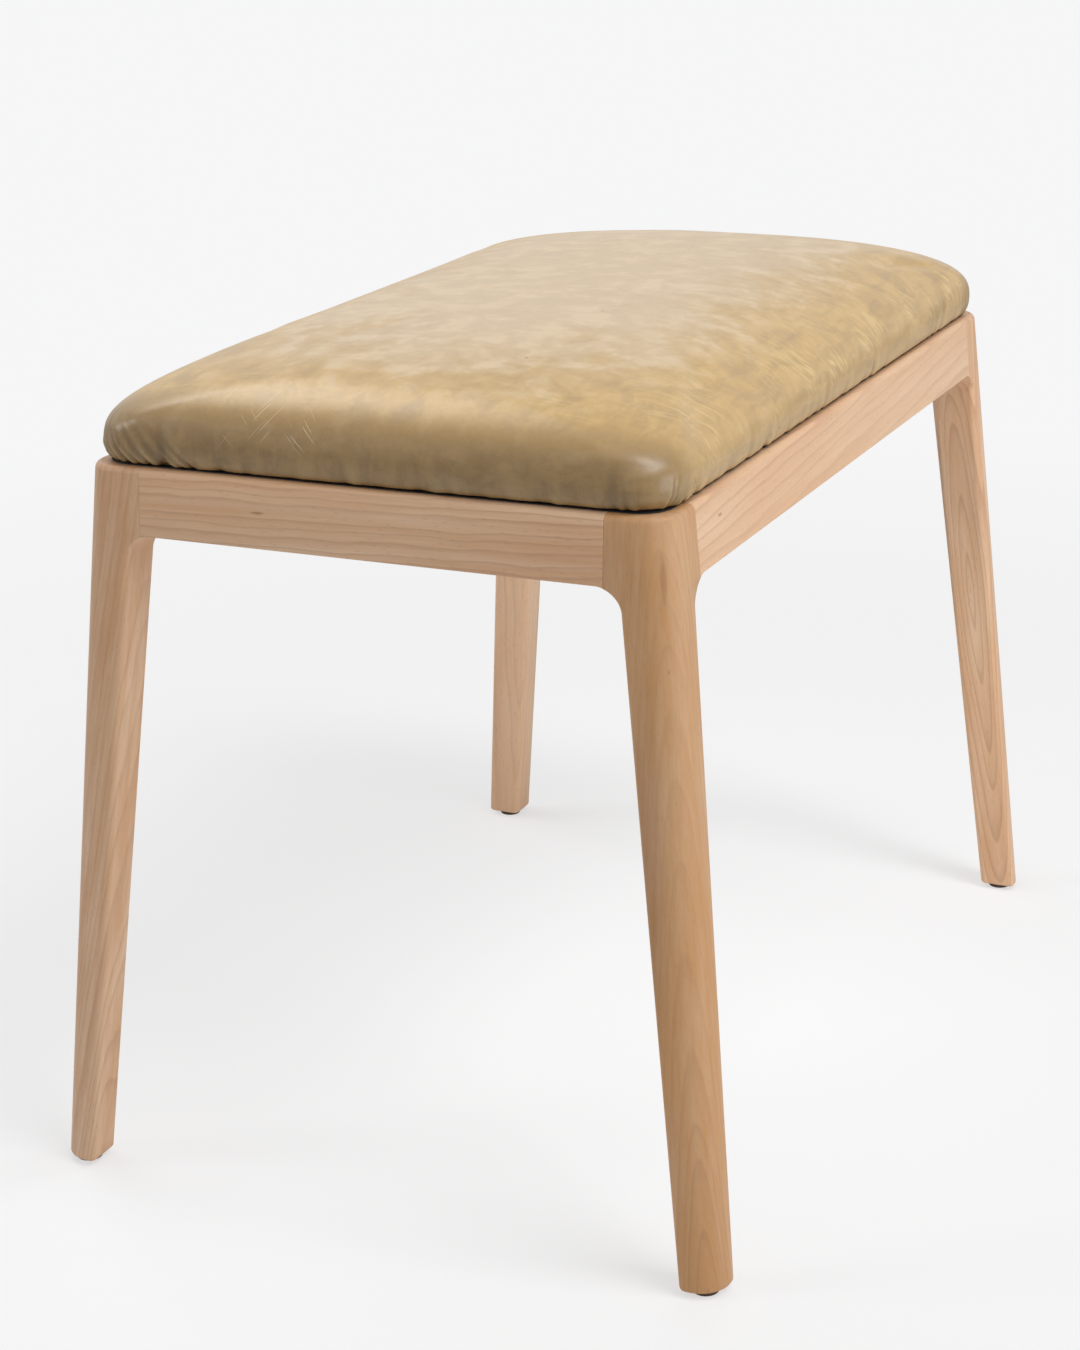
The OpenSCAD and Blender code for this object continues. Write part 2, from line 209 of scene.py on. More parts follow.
def blend_colours(tree, share, first, second, mode="MIX"):
    node = tree.nodes.new("ShaderNodeMix")
    node.data_type = "RGBA"
    node.blend_type = mode
    for key, value in ((0, share), (6, first), (7, second)):
        if isinstance(value, bpy.types.NodeSocket):
            tree.links.new(value, node.inputs[key])
        else:
            node.inputs[key].default_value = value
    return node.outputs[2]


def ramp(tree, value, stops, smooth=True):
    """A ramp from one number to another: stops are (place, brightness)."""
    node = tree.nodes.new("ShaderNodeValToRGB")
    node.color_ramp.interpolation = "EASE" if smooth else "LINEAR"
    points = node.color_ramp.elements
    while len(points) < len(stops):
        points.new(0.5)
    for point, (place, level) in zip(points, stops):
        point.position = place
        point.color = (level, level, level, 1)
    tree.links.new(value, node.inputs[0])
    return node.outputs[0]


def shade(r, g, b):
    """A colour as a paint program writes it, 0 to 255, turned into Blender's linear values."""
    levels = []
    for c in (r, g, b):
        c /= 255
        levels.append(c / 12.92 if c <= 0.04045 else ((c + 0.055) / 1.055) ** 2.4)
    return (*levels, 1)


# %% [markdown]
# ## The studio
#
# The stool stands on a white floor that runs on behind it without a horizon. A large sheet for the floor
# is enough, because the camera looks down. Two broad lights far off, from the right and the left, give each
# leg its two faint shadows. A low softbox at the right reaches in under the seat, one behind on the left
# draws the pale band along the pad's front shoulder, and one above the right draws the bright spot on the
# pad's corner. A dim panel under the seat puts back the light that a white room throws in there. Part of
# the floor's white goes to the camera only, so it stays even without more light.

# %% Floor, world and lamps
FLOOR_SIZE = 60
FLOOR_COLOUR = shade(245, 245, 246)
WHITE = shade(246, 246, 247)
WORLD_LEVEL = 0.32
FLOOR_GLOW = 0.60
GLOW_NEAR = shade(251, 251, 251)


def make_floor():
    bpy.ops.object.select_all(action="DESELECT")
    bpy.ops.mesh.primitive_plane_add(size=FLOOR_SIZE, location=(0, 0, 0))
    floor = bpy.context.object
    floor.name = "studio_floor"
    material, tree, shader = new_material("studio_paper")
    shader.inputs["Base Color"].default_value = FLOOR_COLOUR
    shader.inputs["Roughness"].default_value = 0.9
    shader.inputs["Specular IOR Level"].default_value = 0.0
    place = put(tree, "TexCoord").outputs["Object"]
    reach = put(tree, "VectorMath", operation="LENGTH")
    tree.links.new(place, reach.inputs[0])
    far = put(tree, "MapRange", interpolation_type="SMOOTHSTEP")
    tree.links.new(reach.outputs["Value"], far.inputs["Value"])
    far.inputs["From Min"].default_value = 0.5
    far.inputs["From Max"].default_value = 1.7
    far = far.outputs["Result"]
    glow = put(tree, "Emission", Color=blend_colours(tree, far, GLOW_NEAR, WHITE), Strength=1.0)
    seen = put(tree, "LightPath").outputs["Is Camera Ray"]
    share = calc(tree, "ADD", calc(tree, "MULTIPLY", far, 1 - FLOOR_GLOW), FLOOR_GLOW)
    share = calc(tree, "MULTIPLY", share, seen)
    mix = put(tree, "MixShader")
    tree.links.new(share, mix.inputs[0])
    tree.links.new(shader.outputs[0], mix.inputs[1])
    tree.links.new(glow.outputs[0], mix.inputs[2])
    tree.links.new(mix.outputs[0], tree.nodes["Material Output"].inputs["Surface"])
    floor.data.materials.append(material)
    return floor


def make_world():
    world = bpy.data.worlds.new("studio")
    world.use_nodes = True
    tree = world.node_tree
    room = tree.nodes["Background"]
    room.inputs["Color"].default_value = (1, 1, 1, 1)
    room.inputs["Strength"].default_value = WORLD_LEVEL
    backdrop = put(tree, "Background", Color=WHITE, Strength=1.0)
    ray = put(tree, "LightPath")
    seen = calc(tree, "MAXIMUM", ray.outputs["Is Camera Ray"], ray.outputs["Is Glossy Ray"])
    seen = calc(tree, "MAXIMUM", seen, ray.outputs["Is Transmission Ray"])
    mix = put(tree, "MixShader")
    tree.links.new(seen, mix.inputs[0])
    tree.links.new(room.outputs[0], mix.inputs[1])
    tree.links.new(backdrop.outputs[0], mix.inputs[2])
    tree.links.new(mix.outputs[0], tree.nodes["World Output"].inputs["Surface"])
    bpy.context.scene.world = world


def add_sun(name, azimuth, elevation, strength, softness):
    """A soft lamp far away. Azimuth 0 comes from -Y and 90 from +X, in degrees."""
    data = bpy.data.lights.new(name, "SUN")
    data.energy = strength
    data.angle = math.radians(softness)
    lamp = bpy.data.objects.new(name, data)
    bpy.context.scene.collection.objects.link(lamp)
    a, e = math.radians(azimuth), math.radians(elevation)
    towards = Vector((math.sin(a) * math.cos(e), -math.cos(a) * math.cos(e), math.sin(e)))
    lamp.rotation_euler = towards.to_track_quat("Z", "Y").to_euler()
    lamp.location = towards * 3
    return lamp


def add_softbox(name, place, aim, width, height, power):
    data = bpy.data.lights.new(name, "AREA")
    data.shape = "RECTANGLE"
    data.size, data.size_y = width, height
    data.energy = power
    lamp = bpy.data.objects.new(name, data)
    bpy.context.scene.collection.objects.link(lamp)
    lamp.location = place
    lamp.rotation_euler = (Vector(place) - Vector(aim)).to_track_quat("Z", "Y").to_euler()
    lamp.visible_camera = False
    return lamp


make_floor()
make_world()
add_sun("window_right", 68, 50, 0.62, 22)
add_sun("window_left", -62, 27, 0.50, 21)
add_softbox("lamp_low_right", (1.70, -0.24, 0.45), (0.0, 0.0, 0.26), 1.0, 0.7, 6.6)
add_softbox("lamp_above", (0.80, -0.20, 1.80), (0.14, -0.25, 0.45), 0.36, 0.95, 9.2)
add_softbox("lamp_back_left", (-0.86, 0.17, 1.69), (-0.1, -0.2, 0.45), 0.75, 0.5, 5.8)
add_softbox("panel_under_seat", (0.03, 0, 0.375), (-0.10, -0.06, 0), 0.14, 0.40, 0.50)
bpy.context.scene.view_settings.view_transform = "Standard"
print("world level", WORLD_LEVEL)

# %% [markdown]
# ## The legs
#
# A leg is a splayed post. Its two outer faces lean outwards by different amounts, its inner faces taper it
# from 30 mm to 24 mm at the foot, and the outer corner is rounded so far that it takes most of the width.
# At the top it widens into a head that carries the rails, through a hollow like the inside of a spoon.
# A cube that is cut and bevelled doesn't hold a corner whose radius stays while the section changes. So
# flat cross-sections are laid at many heights, each with its corners rounded, and bridged into one skin.

# %% Measures of the frame
FRAME_W, FRAME_L, FRAME_H = 0.342, 0.564, 0.420
RAIL_H, RAIL_T = 0.037, 0.021
LEG_HEAD, LEG_NECK, LEG_FOOT = 0.035, 0.0305, 0.024
SPLAY_X, SPLAY_Y = 0.037, 0.026
CORNER_R, EDGE_R, JOINT_EDGE_R = 0.018, 0.004, 0.0003
HOLLOW_R = 0.014
TOP_EASE, FOOT_EASE = 0.0035, 0.002
GLIDE_H = 0.0035
HALF_W, HALF_L = FRAME_W / 2, FRAME_L / 2
RAIL_Z = FRAME_H - RAIL_H
HOLLOW_Z = RAIL_Z - HOLLOW_R
CORNER_STEPS, EDGE_STEPS, HOLLOW_STEPS, EASE_STEPS = 14, 4, 12, 4


def outer_face(half, splay, z):
    return half + splay * (1 - z / FRAME_H)


def inner_plane(half, splay, z):
    return outer_face(half, splay, z) - LEG_FOOT - (LEG_NECK - LEG_FOOT) * z / RAIL_Z


def inner_lean(splay):
    return math.atan(splay / FRAME_H + (LEG_NECK - LEG_FOOT) / RAIL_Z)


def hollow_place(half, splay):
    """Where the hollow's centre is, from the stool's middle: it touches the leg and the rail."""
    return inner_plane(half, splay, RAIL_Z) - HOLLOW_R * math.tan((math.pi / 2 - inner_lean(splay)) / 2)


def inner_face(half, splay, z):
    head = half - LEG_HEAD
    if z <= HOLLOW_Z + HOLLOW_R * math.sin(inner_lean(splay)):
        return inner_plane(half, splay, z)
    if z >= RAIL_Z:
        return head
    sag = math.sqrt(max(0.0, HOLLOW_R**2 - (z - HOLLOW_Z) ** 2))
    return max(head, hollow_place(half, splay) + sag)


def hollow_end(half, splay):
    """The height at which the hollow meets the joint with the rail."""
    return HOLLOW_Z + math.sqrt(HOLLOW_R**2 - (half - LEG_HEAD - hollow_place(half, splay)) ** 2)


# %% Cross-sections of a leg
def leg_levels():
    """(height, outer easing, inner easing, radius of the three inner edges), from the sole up."""
    levels = []
    for k in range(EASE_STEPS + 1):
        a = k * math.pi / 2 / EASE_STEPS
        ease = FOOT_EASE * (1 - math.sin(a))
        levels.append((GLIDE_H + FOOT_EASE * (1 - math.cos(a)), ease, ease, EDGE_R - ease))
    start = HOLLOW_Z + HOLLOW_R * math.sin(inner_lean(SPLAY_Y))
    ends = sorted((hollow_end(HALF_W, SPLAY_X), hollow_end(HALF_L, SPLAY_Y)))
    for k in range(1, 4):
        levels.append((levels[EASE_STEPS][0] + (start - levels[EASE_STEPS][0]) * k / 4, 0, 0, EDGE_R))
    for k in range(HOLLOW_STEPS + 1):
        z = start + 0.99 * (ends[0] - start) * math.sin(k * math.pi / 2 / HOLLOW_STEPS)
        fade = (z - start) / (ends[0] - start)
        levels.append((z, 0, 0, EDGE_R + (JOINT_EDGE_R - EDGE_R) * fade))
    levels += [(z, 0, 0, JOINT_EDGE_R) for z in ends]
    for k in range(EASE_STEPS + 1):
        a = k * math.pi / 2 / EASE_STEPS
        levels.append((FRAME_H - TOP_EASE * (1 - math.sin(a)), TOP_EASE * (1 - math.cos(a)), 0, JOINT_EDGE_R))
    return levels


def lay_section(z, ease_out, ease_in, edge_r):
    """A flat face at height z whose outer corner has the large radius and the other three the small one."""
    x_out, y_out = outer_face(HALF_W, SPLAY_X, z) - ease_out, outer_face(HALF_L, SPLAY_Y, z) - ease_out
    x_in, y_in = inner_face(HALF_W, SPLAY_X, z) + ease_in, inner_face(HALF_L, SPLAY_Y, z) + ease_in
    middle = Vector(((x_in + x_out) / 2, (y_in + y_out) / 2, z))
    bpy.ops.mesh.primitive_plane_add(size=1, location=middle)
    bpy.ops.transform.resize(value=(x_out - x_in, y_out - y_in, 1), center_override=middle)
    corners = [
        (x_out, y_out, CORNER_R - ease_out, CORNER_STEPS),
        (x_in, y_out, edge_r, EDGE_STEPS),
        (x_in, y_in, edge_r, EDGE_STEPS),
        (x_out, y_in, edge_r, EDGE_STEPS),
    ]
    for x, y, r, steps in corners:
        corner = Vector((x, y, z))
        pick(lambda co: (co - corner).length < TOUCH)
        bpy.ops.mesh.bevel(offset=r, offset_type="OFFSET", segments=steps, profile=0.5, affect="VERTICES")


def bridge_sections(heights):
    """Joins each section to the next with a band of faces. The lowest and the highest stay as ends."""
    pick(lambda co: heights[0] + TOUCH < co.z < heights[-1] - TOUCH)
    bpy.ops.mesh.delete(type="ONLY_FACE")
    for low, high in zip(heights, heights[1:]):
        pick(lambda co: abs(co.z - low) < TOUCH or abs(co.z - high) < TOUCH)
        bpy.ops.mesh.bridge_edge_loops(use_merge=False)
    bpy.ops.mesh.select_all(action="SELECT")
    bpy.ops.mesh.normals_make_consistent(inside=False)


def finish_wood(obj):
    """Breaks the last sharp edges as sandpaper does, and shades the rounded ones smoothly."""
    apply_modifier(obj, "BEVEL", width=0.0003, segments=2, limit_method="ANGLE", angle_limit=math.radians(50))
    bpy.ops.object.shade_smooth_by_angle(angle=math.radians(35))
    apply_modifier(obj, "WEIGHTED_NORMAL", keep_sharp=True, weight=50)


back_right_leg = start_piece("beech_leg_back_right")
levels = leg_levels()
for level in levels:
    lay_section(*level)
heights = [level[0] for level in levels]
bridge_sections(heights)
end()
finish_wood(back_right_leg)
print("sections in a leg:", len(heights), "faces:", len(back_right_leg.data.polygons))

# %% Four legs from one
legs = {
    "back_right_leg": back_right_leg,
    "back_left_leg": mirrored(back_right_leg, "beech_leg_back_left", True, False),
    "front_right_leg": mirrored(back_right_leg, "beech_leg_front_right", False, True),
    "front_left_leg": mirrored(back_right_leg, "beech_leg_front_left", True, True),
}
for node, leg in legs.items():
    low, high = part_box(node)
    lowest = Vector([min(v.co[k] for v in leg.data.vertices) for k in range(3)])
    print(node, "lowest corner is off the CAD's by", round((lowest - Vector(low)).length * 1000, 3), "mm")

# %% [markdown]
# ## The rails
#
# A rail is a plain board, 37 mm high, whose outer face leans with the legs so that the frame is flush all
# round. Its upper outer edge is eased, and the last millimetres of its underside curve down into the leg's
# hollow. That is a cube with its lower outer edge pulled out, cut across near both ends with bisect, and
# with the new lower edges moved down onto the hollow's arc.

# %% Rails
RAIL_CUTS = 4


def make_rail(name, half_length, hollow, half, splay):
    """A rail along X on the +Y side. hollow is where its underside starts to curve down."""
    rail = start_piece(name)
    middle = Vector((0, half - RAIL_T / 2, RAIL_Z + RAIL_H / 2))
    bpy.ops.mesh.primitive_cube_add(size=1, location=middle)
    bpy.ops.transform.resize(value=(2 * half_length, RAIL_T, RAIL_H), center_override=middle)
    pick(lambda co: co.y > half - TOUCH and co.z < RAIL_Z + TOUCH)
    bpy.ops.transform.translate(value=(0, outer_face(0, splay, RAIL_Z), 0))
    reach = half_length - hollow
    cuts = [hollow + reach * k / RAIL_CUTS for k in range(RAIL_CUTS)]
    for place in (*cuts, *(-c for c in cuts)):
        bpy.ops.mesh.select_all(action="SELECT")
        bpy.ops.mesh.bisect(plane_co=(place, 0, 0), plane_no=(1, 0, 0))
    for place in (*cuts[1:], half_length):
        drop = RAIL_Z - HOLLOW_Z - math.sqrt(HOLLOW_R**2 - (place - hollow) ** 2)
        pick(lambda co: abs(abs(co.x) - place) < TOUCH and co.z < RAIL_Z + TOUCH and co.y < half)
        bpy.ops.transform.translate(value=(0, 0, -drop))
        pick(lambda co: abs(abs(co.x) - place) < TOUCH and co.z < RAIL_Z + TOUCH and co.y > half)
        bpy.ops.transform.translate(value=(0, splay * drop / FRAME_H, -drop))
    pick(lambda co: co.y > half - TOUCH and co.z > FRAME_H - TOUCH)
    bpy.ops.mesh.bevel(offset=TOP_EASE, segments=5, profile=0.5, affect="EDGES")
    end()
    finish_wood(rail)
    return rail


end_rail = make_rail(
    "beech_rail_back", HALF_W - LEG_HEAD, hollow_place(HALF_W, SPLAY_X), HALF_L, SPLAY_Y
)
side_rail = make_rail(
    "beech_rail_right", HALF_L - LEG_HEAD, hollow_place(HALF_L, SPLAY_Y), HALF_W, SPLAY_X
)
side_rail.data.transform(Matrix.Rotation(-math.pi / 2, 4, "Z"))
rails = {
    "back_rail": end_rail,
    "front_rail": mirrored(end_rail, "beech_rail_front", False, True),
    "right_rail": side_rail,
    "left_rail": mirrored(side_rail, "beech_rail_left", True, False),
}
print("faces in a rail:", len(end_rail.data.polygons))

# %% [markdown]
# ## Beech
#
# Sawn wood shows the tree's growth rings, cut at whatever angle the board was taken. So the pattern isn't
# painted on: it fills space. Rings lie round a line, the tree's heart, that runs beside the board and
# leans a little to it, and a face that touches them flatly shows long arches while one that cuts straight
# through shows lines. Noise bends the rings. Beech is pale and even, so the rings stay faint. Over them
# come fibres, broad streaks, short ray flecks, and here and there a small brown mark.

# %% Beech
BEECH_PALE = shade(230, 196, 163)
BEECH_WARM = shade(214, 167, 126)
BEECH_RING = shade(170, 124, 95)
BEECH_MARK = shade(118, 74, 46)


def beech(
    name,
    along,
    heart,
    seed,
    rings=0.5,
    warmth=0.5,
    ring_width=0.0042,
    ripple=0.0025,
    tone=1.0,
    least_warmth=0.0,
    warm_colour=BEECH_WARM,
    marks=(),
):
    """Beech cut so that its fibres run along a direction, with the tree's heart passing through a point."""
    material, tree, shader = new_material(name)
    turn = Vector(along).normalized().to_track_quat("Z", "Y").to_euler()
    place = put(tree, "TexCoord").outputs["Object"]
    board = put(tree, "Mapping", vector_type="TEXTURE", Vector=place, Location=heart, Rotation=turn)
    board = board.outputs["Vector"]

    slow = put(tree, "Mapping", Vector=board, Scale=(1, 1, 0.16), Location=(seed, 0, seed * 0.7)).outputs["Vector"]
    sway = put(tree, "TexNoise", Vector=slow, Scale=16.0, Detail=2.0, Roughness=0.5).outputs["Color"]
    bent = put(tree, "VectorMath", operation="MULTIPLY_ADD")
    tree.links.new(sway, bent.inputs[0])
    bent.inputs[1].default_value = (0.016, 0.016, 0)
    tree.links.new(board, bent.inputs[2])
    wavy = put(tree, "Mapping", Vector=board, Scale=(1, 1, 0.34), Location=(seed * 3, 0, 0)).outputs["Vector"]
    wavy = put(tree, "TexNoise", Vector=wavy, Scale=58.0, Detail=2.0, Roughness=0.5).outputs["Color"]
    rippled = put(tree, "VectorMath", operation="MULTIPLY_ADD")
    tree.links.new(wavy, rippled.inputs[0])
    rippled.inputs[1].default_value = (ripple, ripple, 0)
    tree.links.new(bent.outputs[0], rippled.inputs[2])
    across = put(tree, "VectorMath", operation="MULTIPLY")
    tree.links.new(rippled.outputs[0], across.inputs[0])
    across.inputs[1].default_value = (1, 1, 0)
    radius = put(tree, "VectorMath", operation="LENGTH")
    tree.links.new(across.outputs[0], radius.inputs[0])
    count = calc(tree, "DIVIDE", radius.outputs["Value"], ring_width)
    uneven = put(tree, "TexNoise", noise_dimensions="1D", W=count, Scale=0.35, Detail=1.0).outputs["Fac"]
    count = calc(tree, "ADD", count, calc(tree, "MULTIPLY", uneven, 1.6))
    ring = calc(tree, "FRACT", count)
    ring = ramp(tree, ring, [(0.0, 0.0), (0.6, 0.25), (0.9, 1.0), (1.0, 0.0)], smooth=False)
    fade = put(tree, "TexNoise", Vector=slow, Scale=9.0, Detail=1.0).outputs["Fac"]
    ring = calc(tree, "MULTIPLY", ring, ramp(tree, fade, [(0.3, 0.35), (0.62, 1.0)]))
    ring = calc(tree, "MULTIPLY", ring, rings)

    streak_at = put(tree, "Mapping", Vector=board, Scale=(1, 1, 0.035), Location=(0, seed, 0)).outputs["Vector"]
    streak = put(tree, "TexNoise", Vector=streak_at, Scale=150.0, Detail=5.0, Roughness=0.68).outputs["Fac"]
    fibre_at = put(tree, "Mapping", Vector=board, Scale=(1, 1, 0.03)).outputs["Vector"]
    fibre = put(tree, "TexNoise", Vector=fibre_at, Scale=1500.0, Detail=2.0, Roughness=0.7).outputs["Fac"]
    ray_at = put(tree, "Mapping", Vector=board, Scale=(1, 1, 0.22)).outputs["Vector"]
    ray = put(tree, "TexVoronoi", Vector=ray_at, Scale=520.0).outputs["Distance"]
    ray = ramp(tree, ray, [(0.12, 1.0), (0.26, 0.0)])
    cloud = put(tree, "TexNoise", Vector=slow, Scale=30.0, Detail=2.0).outputs["Fac"]

    warm = calc(tree, "MULTIPLY", ramp(tree, cloud, [(0.3, 0.0), (0.7, 1.0)]), 0.5)
    warm = calc(tree, "ADD", warm, calc(tree, "MULTIPLY", ramp(tree, streak, [(0.3, 0.0), (0.7, 1.0)]), 0.5))
    warm = calc(tree, "ADD", calc(tree, "MULTIPLY", warm, 2 * warmth), least_warmth)
    colour = blend_colours(tree, warm, BEECH_PALE, warm_colour)
    colour = blend_colours(tree, ring, colour, BEECH_RING)
    # tone scales the whole board's colour: partly the board's own colour, partly painted shade on the boards nearest
    # the front.
    grain = calc(tree, "ADD", calc(tree, "MULTIPLY", fibre, 0.16 * tone), 0.92 * tone)
    colour = blend_colours(tree, 1.0, colour, grain, "MULTIPLY")
    colour = blend_colours(tree, calc(tree, "MULTIPLY", ray, 0.22), colour, BEECH_RING)
    for spot, length, width, depth in marks:
        near = put(tree, "Mapping", vector_type="TEXTURE", Vector=place, Location=spot, Rotation=turn)
        near.inputs["Scale"].default_value = (width, width, length)
        size = put(tree, "VectorMath", operation="LENGTH")
        tree.links.new(near.outputs[0], size.inputs[0])
        dark = ramp(tree, size.outputs["Value"], [(0.25, 1.0), (1.0, 0.0)])
        colour = blend_colours(tree, calc(tree, "MULTIPLY", dark, depth), colour, BEECH_MARK)
    tree.links.new(colour, shader.inputs["Base Color"])

    rough = calc(tree, "ADD", calc(tree, "MULTIPLY", fibre, 0.14), calc(tree, "MULTIPLY", ring, 0.08))
    tree.links.new(calc(tree, "ADD", rough, 0.40), shader.inputs["Roughness"])
    shader.inputs["Specular IOR Level"].default_value = 0.4
    relief = calc(tree, "ADD", calc(tree, "MULTIPLY", fibre, 0.7), calc(tree, "MULTIPLY", ring, -0.5))
    bump = put(tree, "Bump", Strength=0.10, Distance=0.0004, Height=relief)
    tree.links.new(bump.outputs[0], shader.inputs["Normal"])
    return material


def lean_of(side, end, share=1.0):
    """The direction up a leg, for fibres that follow it."""
    return (-side * SPLAY_X * share, -end * SPLAY_Y * share, FRAME_H)


def clothe(obj, material, slot, *nodes):
    """Gives a new piece its material and its body, and hides the CAD nodes that it stands for."""
    obj.data.materials.clear()
    obj.data.materials.append(material)
    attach(obj, BODY)
    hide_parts(*nodes)


LEFT, RIGHT, FRONT, BACK = -1, 1, -1, 1
# Each board's tone is partly its own colour and partly painted light: the front legs and the front rail are darkened as
# painted shade, the right rail a little.
beeches = {
    "front_right_leg": beech(
        "beech_front_right_leg",
        (-0.0216, -0.018, 1),
        (0.2137, -0.3049, -0.005),
        1.3,
        rings=0.42,
        warmth=0.35,
        least_warmth=0.55,
        ring_width=0.0036,
        ripple=0.0010,
        tone=0.80,
        warm_colour=shade(211, 159, 106),
        marks=(
            ((0.1672, -0.2798, 0.389), 0.020, 0.0026, 0.35),
            ((0.1715, -0.2835, 0.342), 0.002, 0.0012, 0.7),
            ((0.1610, -0.2960, 0.220), 0.300, 0.0150, 0.26),
        ),
    ),
    "front_left_leg": beech(
        "beech_front_left_leg",
        lean_of(LEFT, FRONT, 2.2),
        (-0.02, -0.26, 0.2),
        2.9,
        rings=0.5,
        warmth=0.75,
        ring_width=0.0038,
        ripple=0.0018,
        tone=0.86,
    ),
    "back_right_leg": beech(
        "beech_back_right_leg",
        (-0.105, 0, 1),
        (0.1816, 0.2571, 0.24),
        4.1,
        rings=0.48,
        warmth=0.5,
        ring_width=0.0027,
        ripple=0.0010,
        tone=0.99,
        marks=(((0.1905, 0.2735, 0.152), 0.0025, 0.0014, 0.7),),
    ),
    "back_left_leg": beech(
        "beech_back_left_leg", lean_of(LEFT, BACK, 0.9), (-0.14, 0.20, 0.2), 5.7, rings=0.35, warmth=0.36, tone=1.02
    ),
    "front_rail": beech(
        "beech_front_rail",
        (1, 0, 0.03),
        (0, -0.25, 0.31),
        6.4,
        rings=0.55,
        warmth=0.55,
        ring_width=0.0048,
        ripple=0.0060,
        tone=0.94,
        marks=(((-0.0626, -0.2835, 0.4026), 0.006, 0.0012, 0.6),),
    ),
    "back_rail": beech("beech_back_rail", (1, 0, -0.02), (0, 0.24, 0.31), 7.9, rings=0.45, ring_width=0.0045),
    "right_rail": beech(
        "beech_right_rail",
        (0.02, 1, 0.03),
        (0.11, 0, 0.37),
        8.2,
        rings=0.36,
        warmth=0.35,
        ring_width=0.0042,
        tone=0.96,
        marks=(((0.1725, -0.214, 0.406), 0.004, 0.0012, 0.6),),
    ),
    "left_rail": beech("beech_left_rail", (-0.02, 1, -0.02), (-0.11, 0, 0.36), 9.6, rings=0.4, ring_width=0.0045),
}
for node, piece in {**legs, **rails}.items():
    clothe(piece, beeches[node], "beech", node)
print("boards with their own grain:", len(beeches))

# %% [markdown]
# ## The hidden woods and the metal
#
# Under the pad are dowels, glued corner blocks, a plywood board, screws, staples and the nails of the
# glides. Their CAD shapes are right, so they stay, and each gets a finish of its own: plain wood for the
# blocks and dowels, layers for the plywood, a thin zinc coat for the screws.

# %% Plain woods
def plain_wood(name, pale, dark, along, seed):
    material, tree, shader = new_material(name)
    turn = Vector(along).normalized().to_track_quat("Z", "Y").to_euler()
    place = put(tree, "TexCoord").outputs["Object"]
    board = put(tree, "Mapping", vector_type="TEXTURE", Vector=place, Location=(seed, 0, 0), Rotation=turn)
    long = put(tree, "Mapping", Vector=board.outputs[0], Scale=(1, 1, 0.05)).outputs[0]
    streak = put(tree, "TexNoise", Vector=long, Scale=260.0, Detail=4.0, Roughness=0.6).outputs["Fac"]
    colour = blend_colours(tree, ramp(tree, streak, [(0.3, 0.0), (0.7, 1.0)]), pale, dark)
    tree.links.new(colour, shader.inputs["Base Color"])
    tree.links.new(calc(tree, "ADD", calc(tree, "MULTIPLY", streak, 0.2), 0.6), shader.inputs["Roughness"])
    bump = put(tree, "Bump", Strength=0.2, Distance=0.0004, Height=streak)
    tree.links.new(bump.outputs[0], shader.inputs["Normal"])
    return material


def plywood():
    """Thin layers seen on the edges, crossed grain on the faces."""
    material, tree, shader = new_material("birch_plywood")
    place = put(tree, "TexCoord").outputs["Object"]
    layer = put(tree, "SeparateXYZ", Vector=place).outputs["Z"]
    layer = calc(tree, "FRACT", calc(tree, "MULTIPLY", layer, 350.0))
    layer = ramp(tree, layer, [(0.45, 0.0), (0.55, 1.0)])
    long = put(tree, "Mapping", Vector=place, Scale=(1, 0.06, 1)).outputs[0]
    streak = put(tree, "TexNoise", Vector=long, Scale=220.0, Detail=4.0).outputs["Fac"]
    colour = blend_colours(tree, streak, shade(224, 196, 152), shade(196, 158, 110))
    colour = blend_colours(tree, calc(tree, "MULTIPLY", layer, 0.35), colour, shade(150, 108, 68))
    tree.links.new(colour, shader.inputs["Base Color"])
    tree.links.new(calc(tree, "ADD", calc(tree, "MULTIPLY", streak, 0.2), 0.6), shader.inputs["Roughness"])
    return material


# %% Metal, plastic and cloth underneath
def metal(name, colour, roughness, brushing):
    material, tree, shader = new_material(name)
    place = put(tree, "TexCoord").outputs["Object"]
    patch = put(tree, "TexNoise", Vector=place, Scale=brushing, Detail=3.0).outputs["Fac"]
    tone = calc(tree, "ADD", calc(tree, "MULTIPLY", patch, 0.3), 0.85)
    tree.links.new(blend_colours(tree, 1.0, colour, tone, "MULTIPLY"), shader.inputs["Base Color"])
    rough = calc(tree, "ADD", calc(tree, "MULTIPLY", patch, 0.2), roughness - 0.1)
    tree.links.new(rough, shader.inputs["Roughness"])
    shader.inputs["Metallic"].default_value = 1.0
    bump = put(tree, "Bump", Strength=0.1, Distance=0.0001, Height=patch)
    tree.links.new(bump.outputs[0], shader.inputs["Normal"])
    return material


def glide_plastic():
    """Brown nylon, moulded slightly rough and scuffed round its foot."""
    material, tree, shader = new_material("glide_nylon")
    place = put(tree, "TexCoord").outputs["Object"]
    speckle = put(tree, "TexNoise", Vector=place, Scale=1800.0, Detail=2.0).outputs["Fac"]
    height = put(tree, "SeparateXYZ", Vector=place).outputs["Z"]
    scuff = ramp(tree, calc(tree, "MULTIPLY", height, 400.0), [(0.0, 1.0), (0.5, 0.0)])
    scuff = calc(tree, "MULTIPLY", scuff, speckle)
    colour = blend_colours(tree, scuff, shade(74, 56, 44), shade(128, 108, 90))
    tree.links.new(colour, shader.inputs["Base Color"])
    tree.links.new(calc(tree, "ADD", calc(tree, "MULTIPLY", speckle, 0.2), 0.45), shader.inputs["Roughness"])
    bump = put(tree, "Bump", Strength=0.15, Distance=0.0001, Height=speckle)
    tree.links.new(bump.outputs[0], shader.inputs["Normal"])
    return material


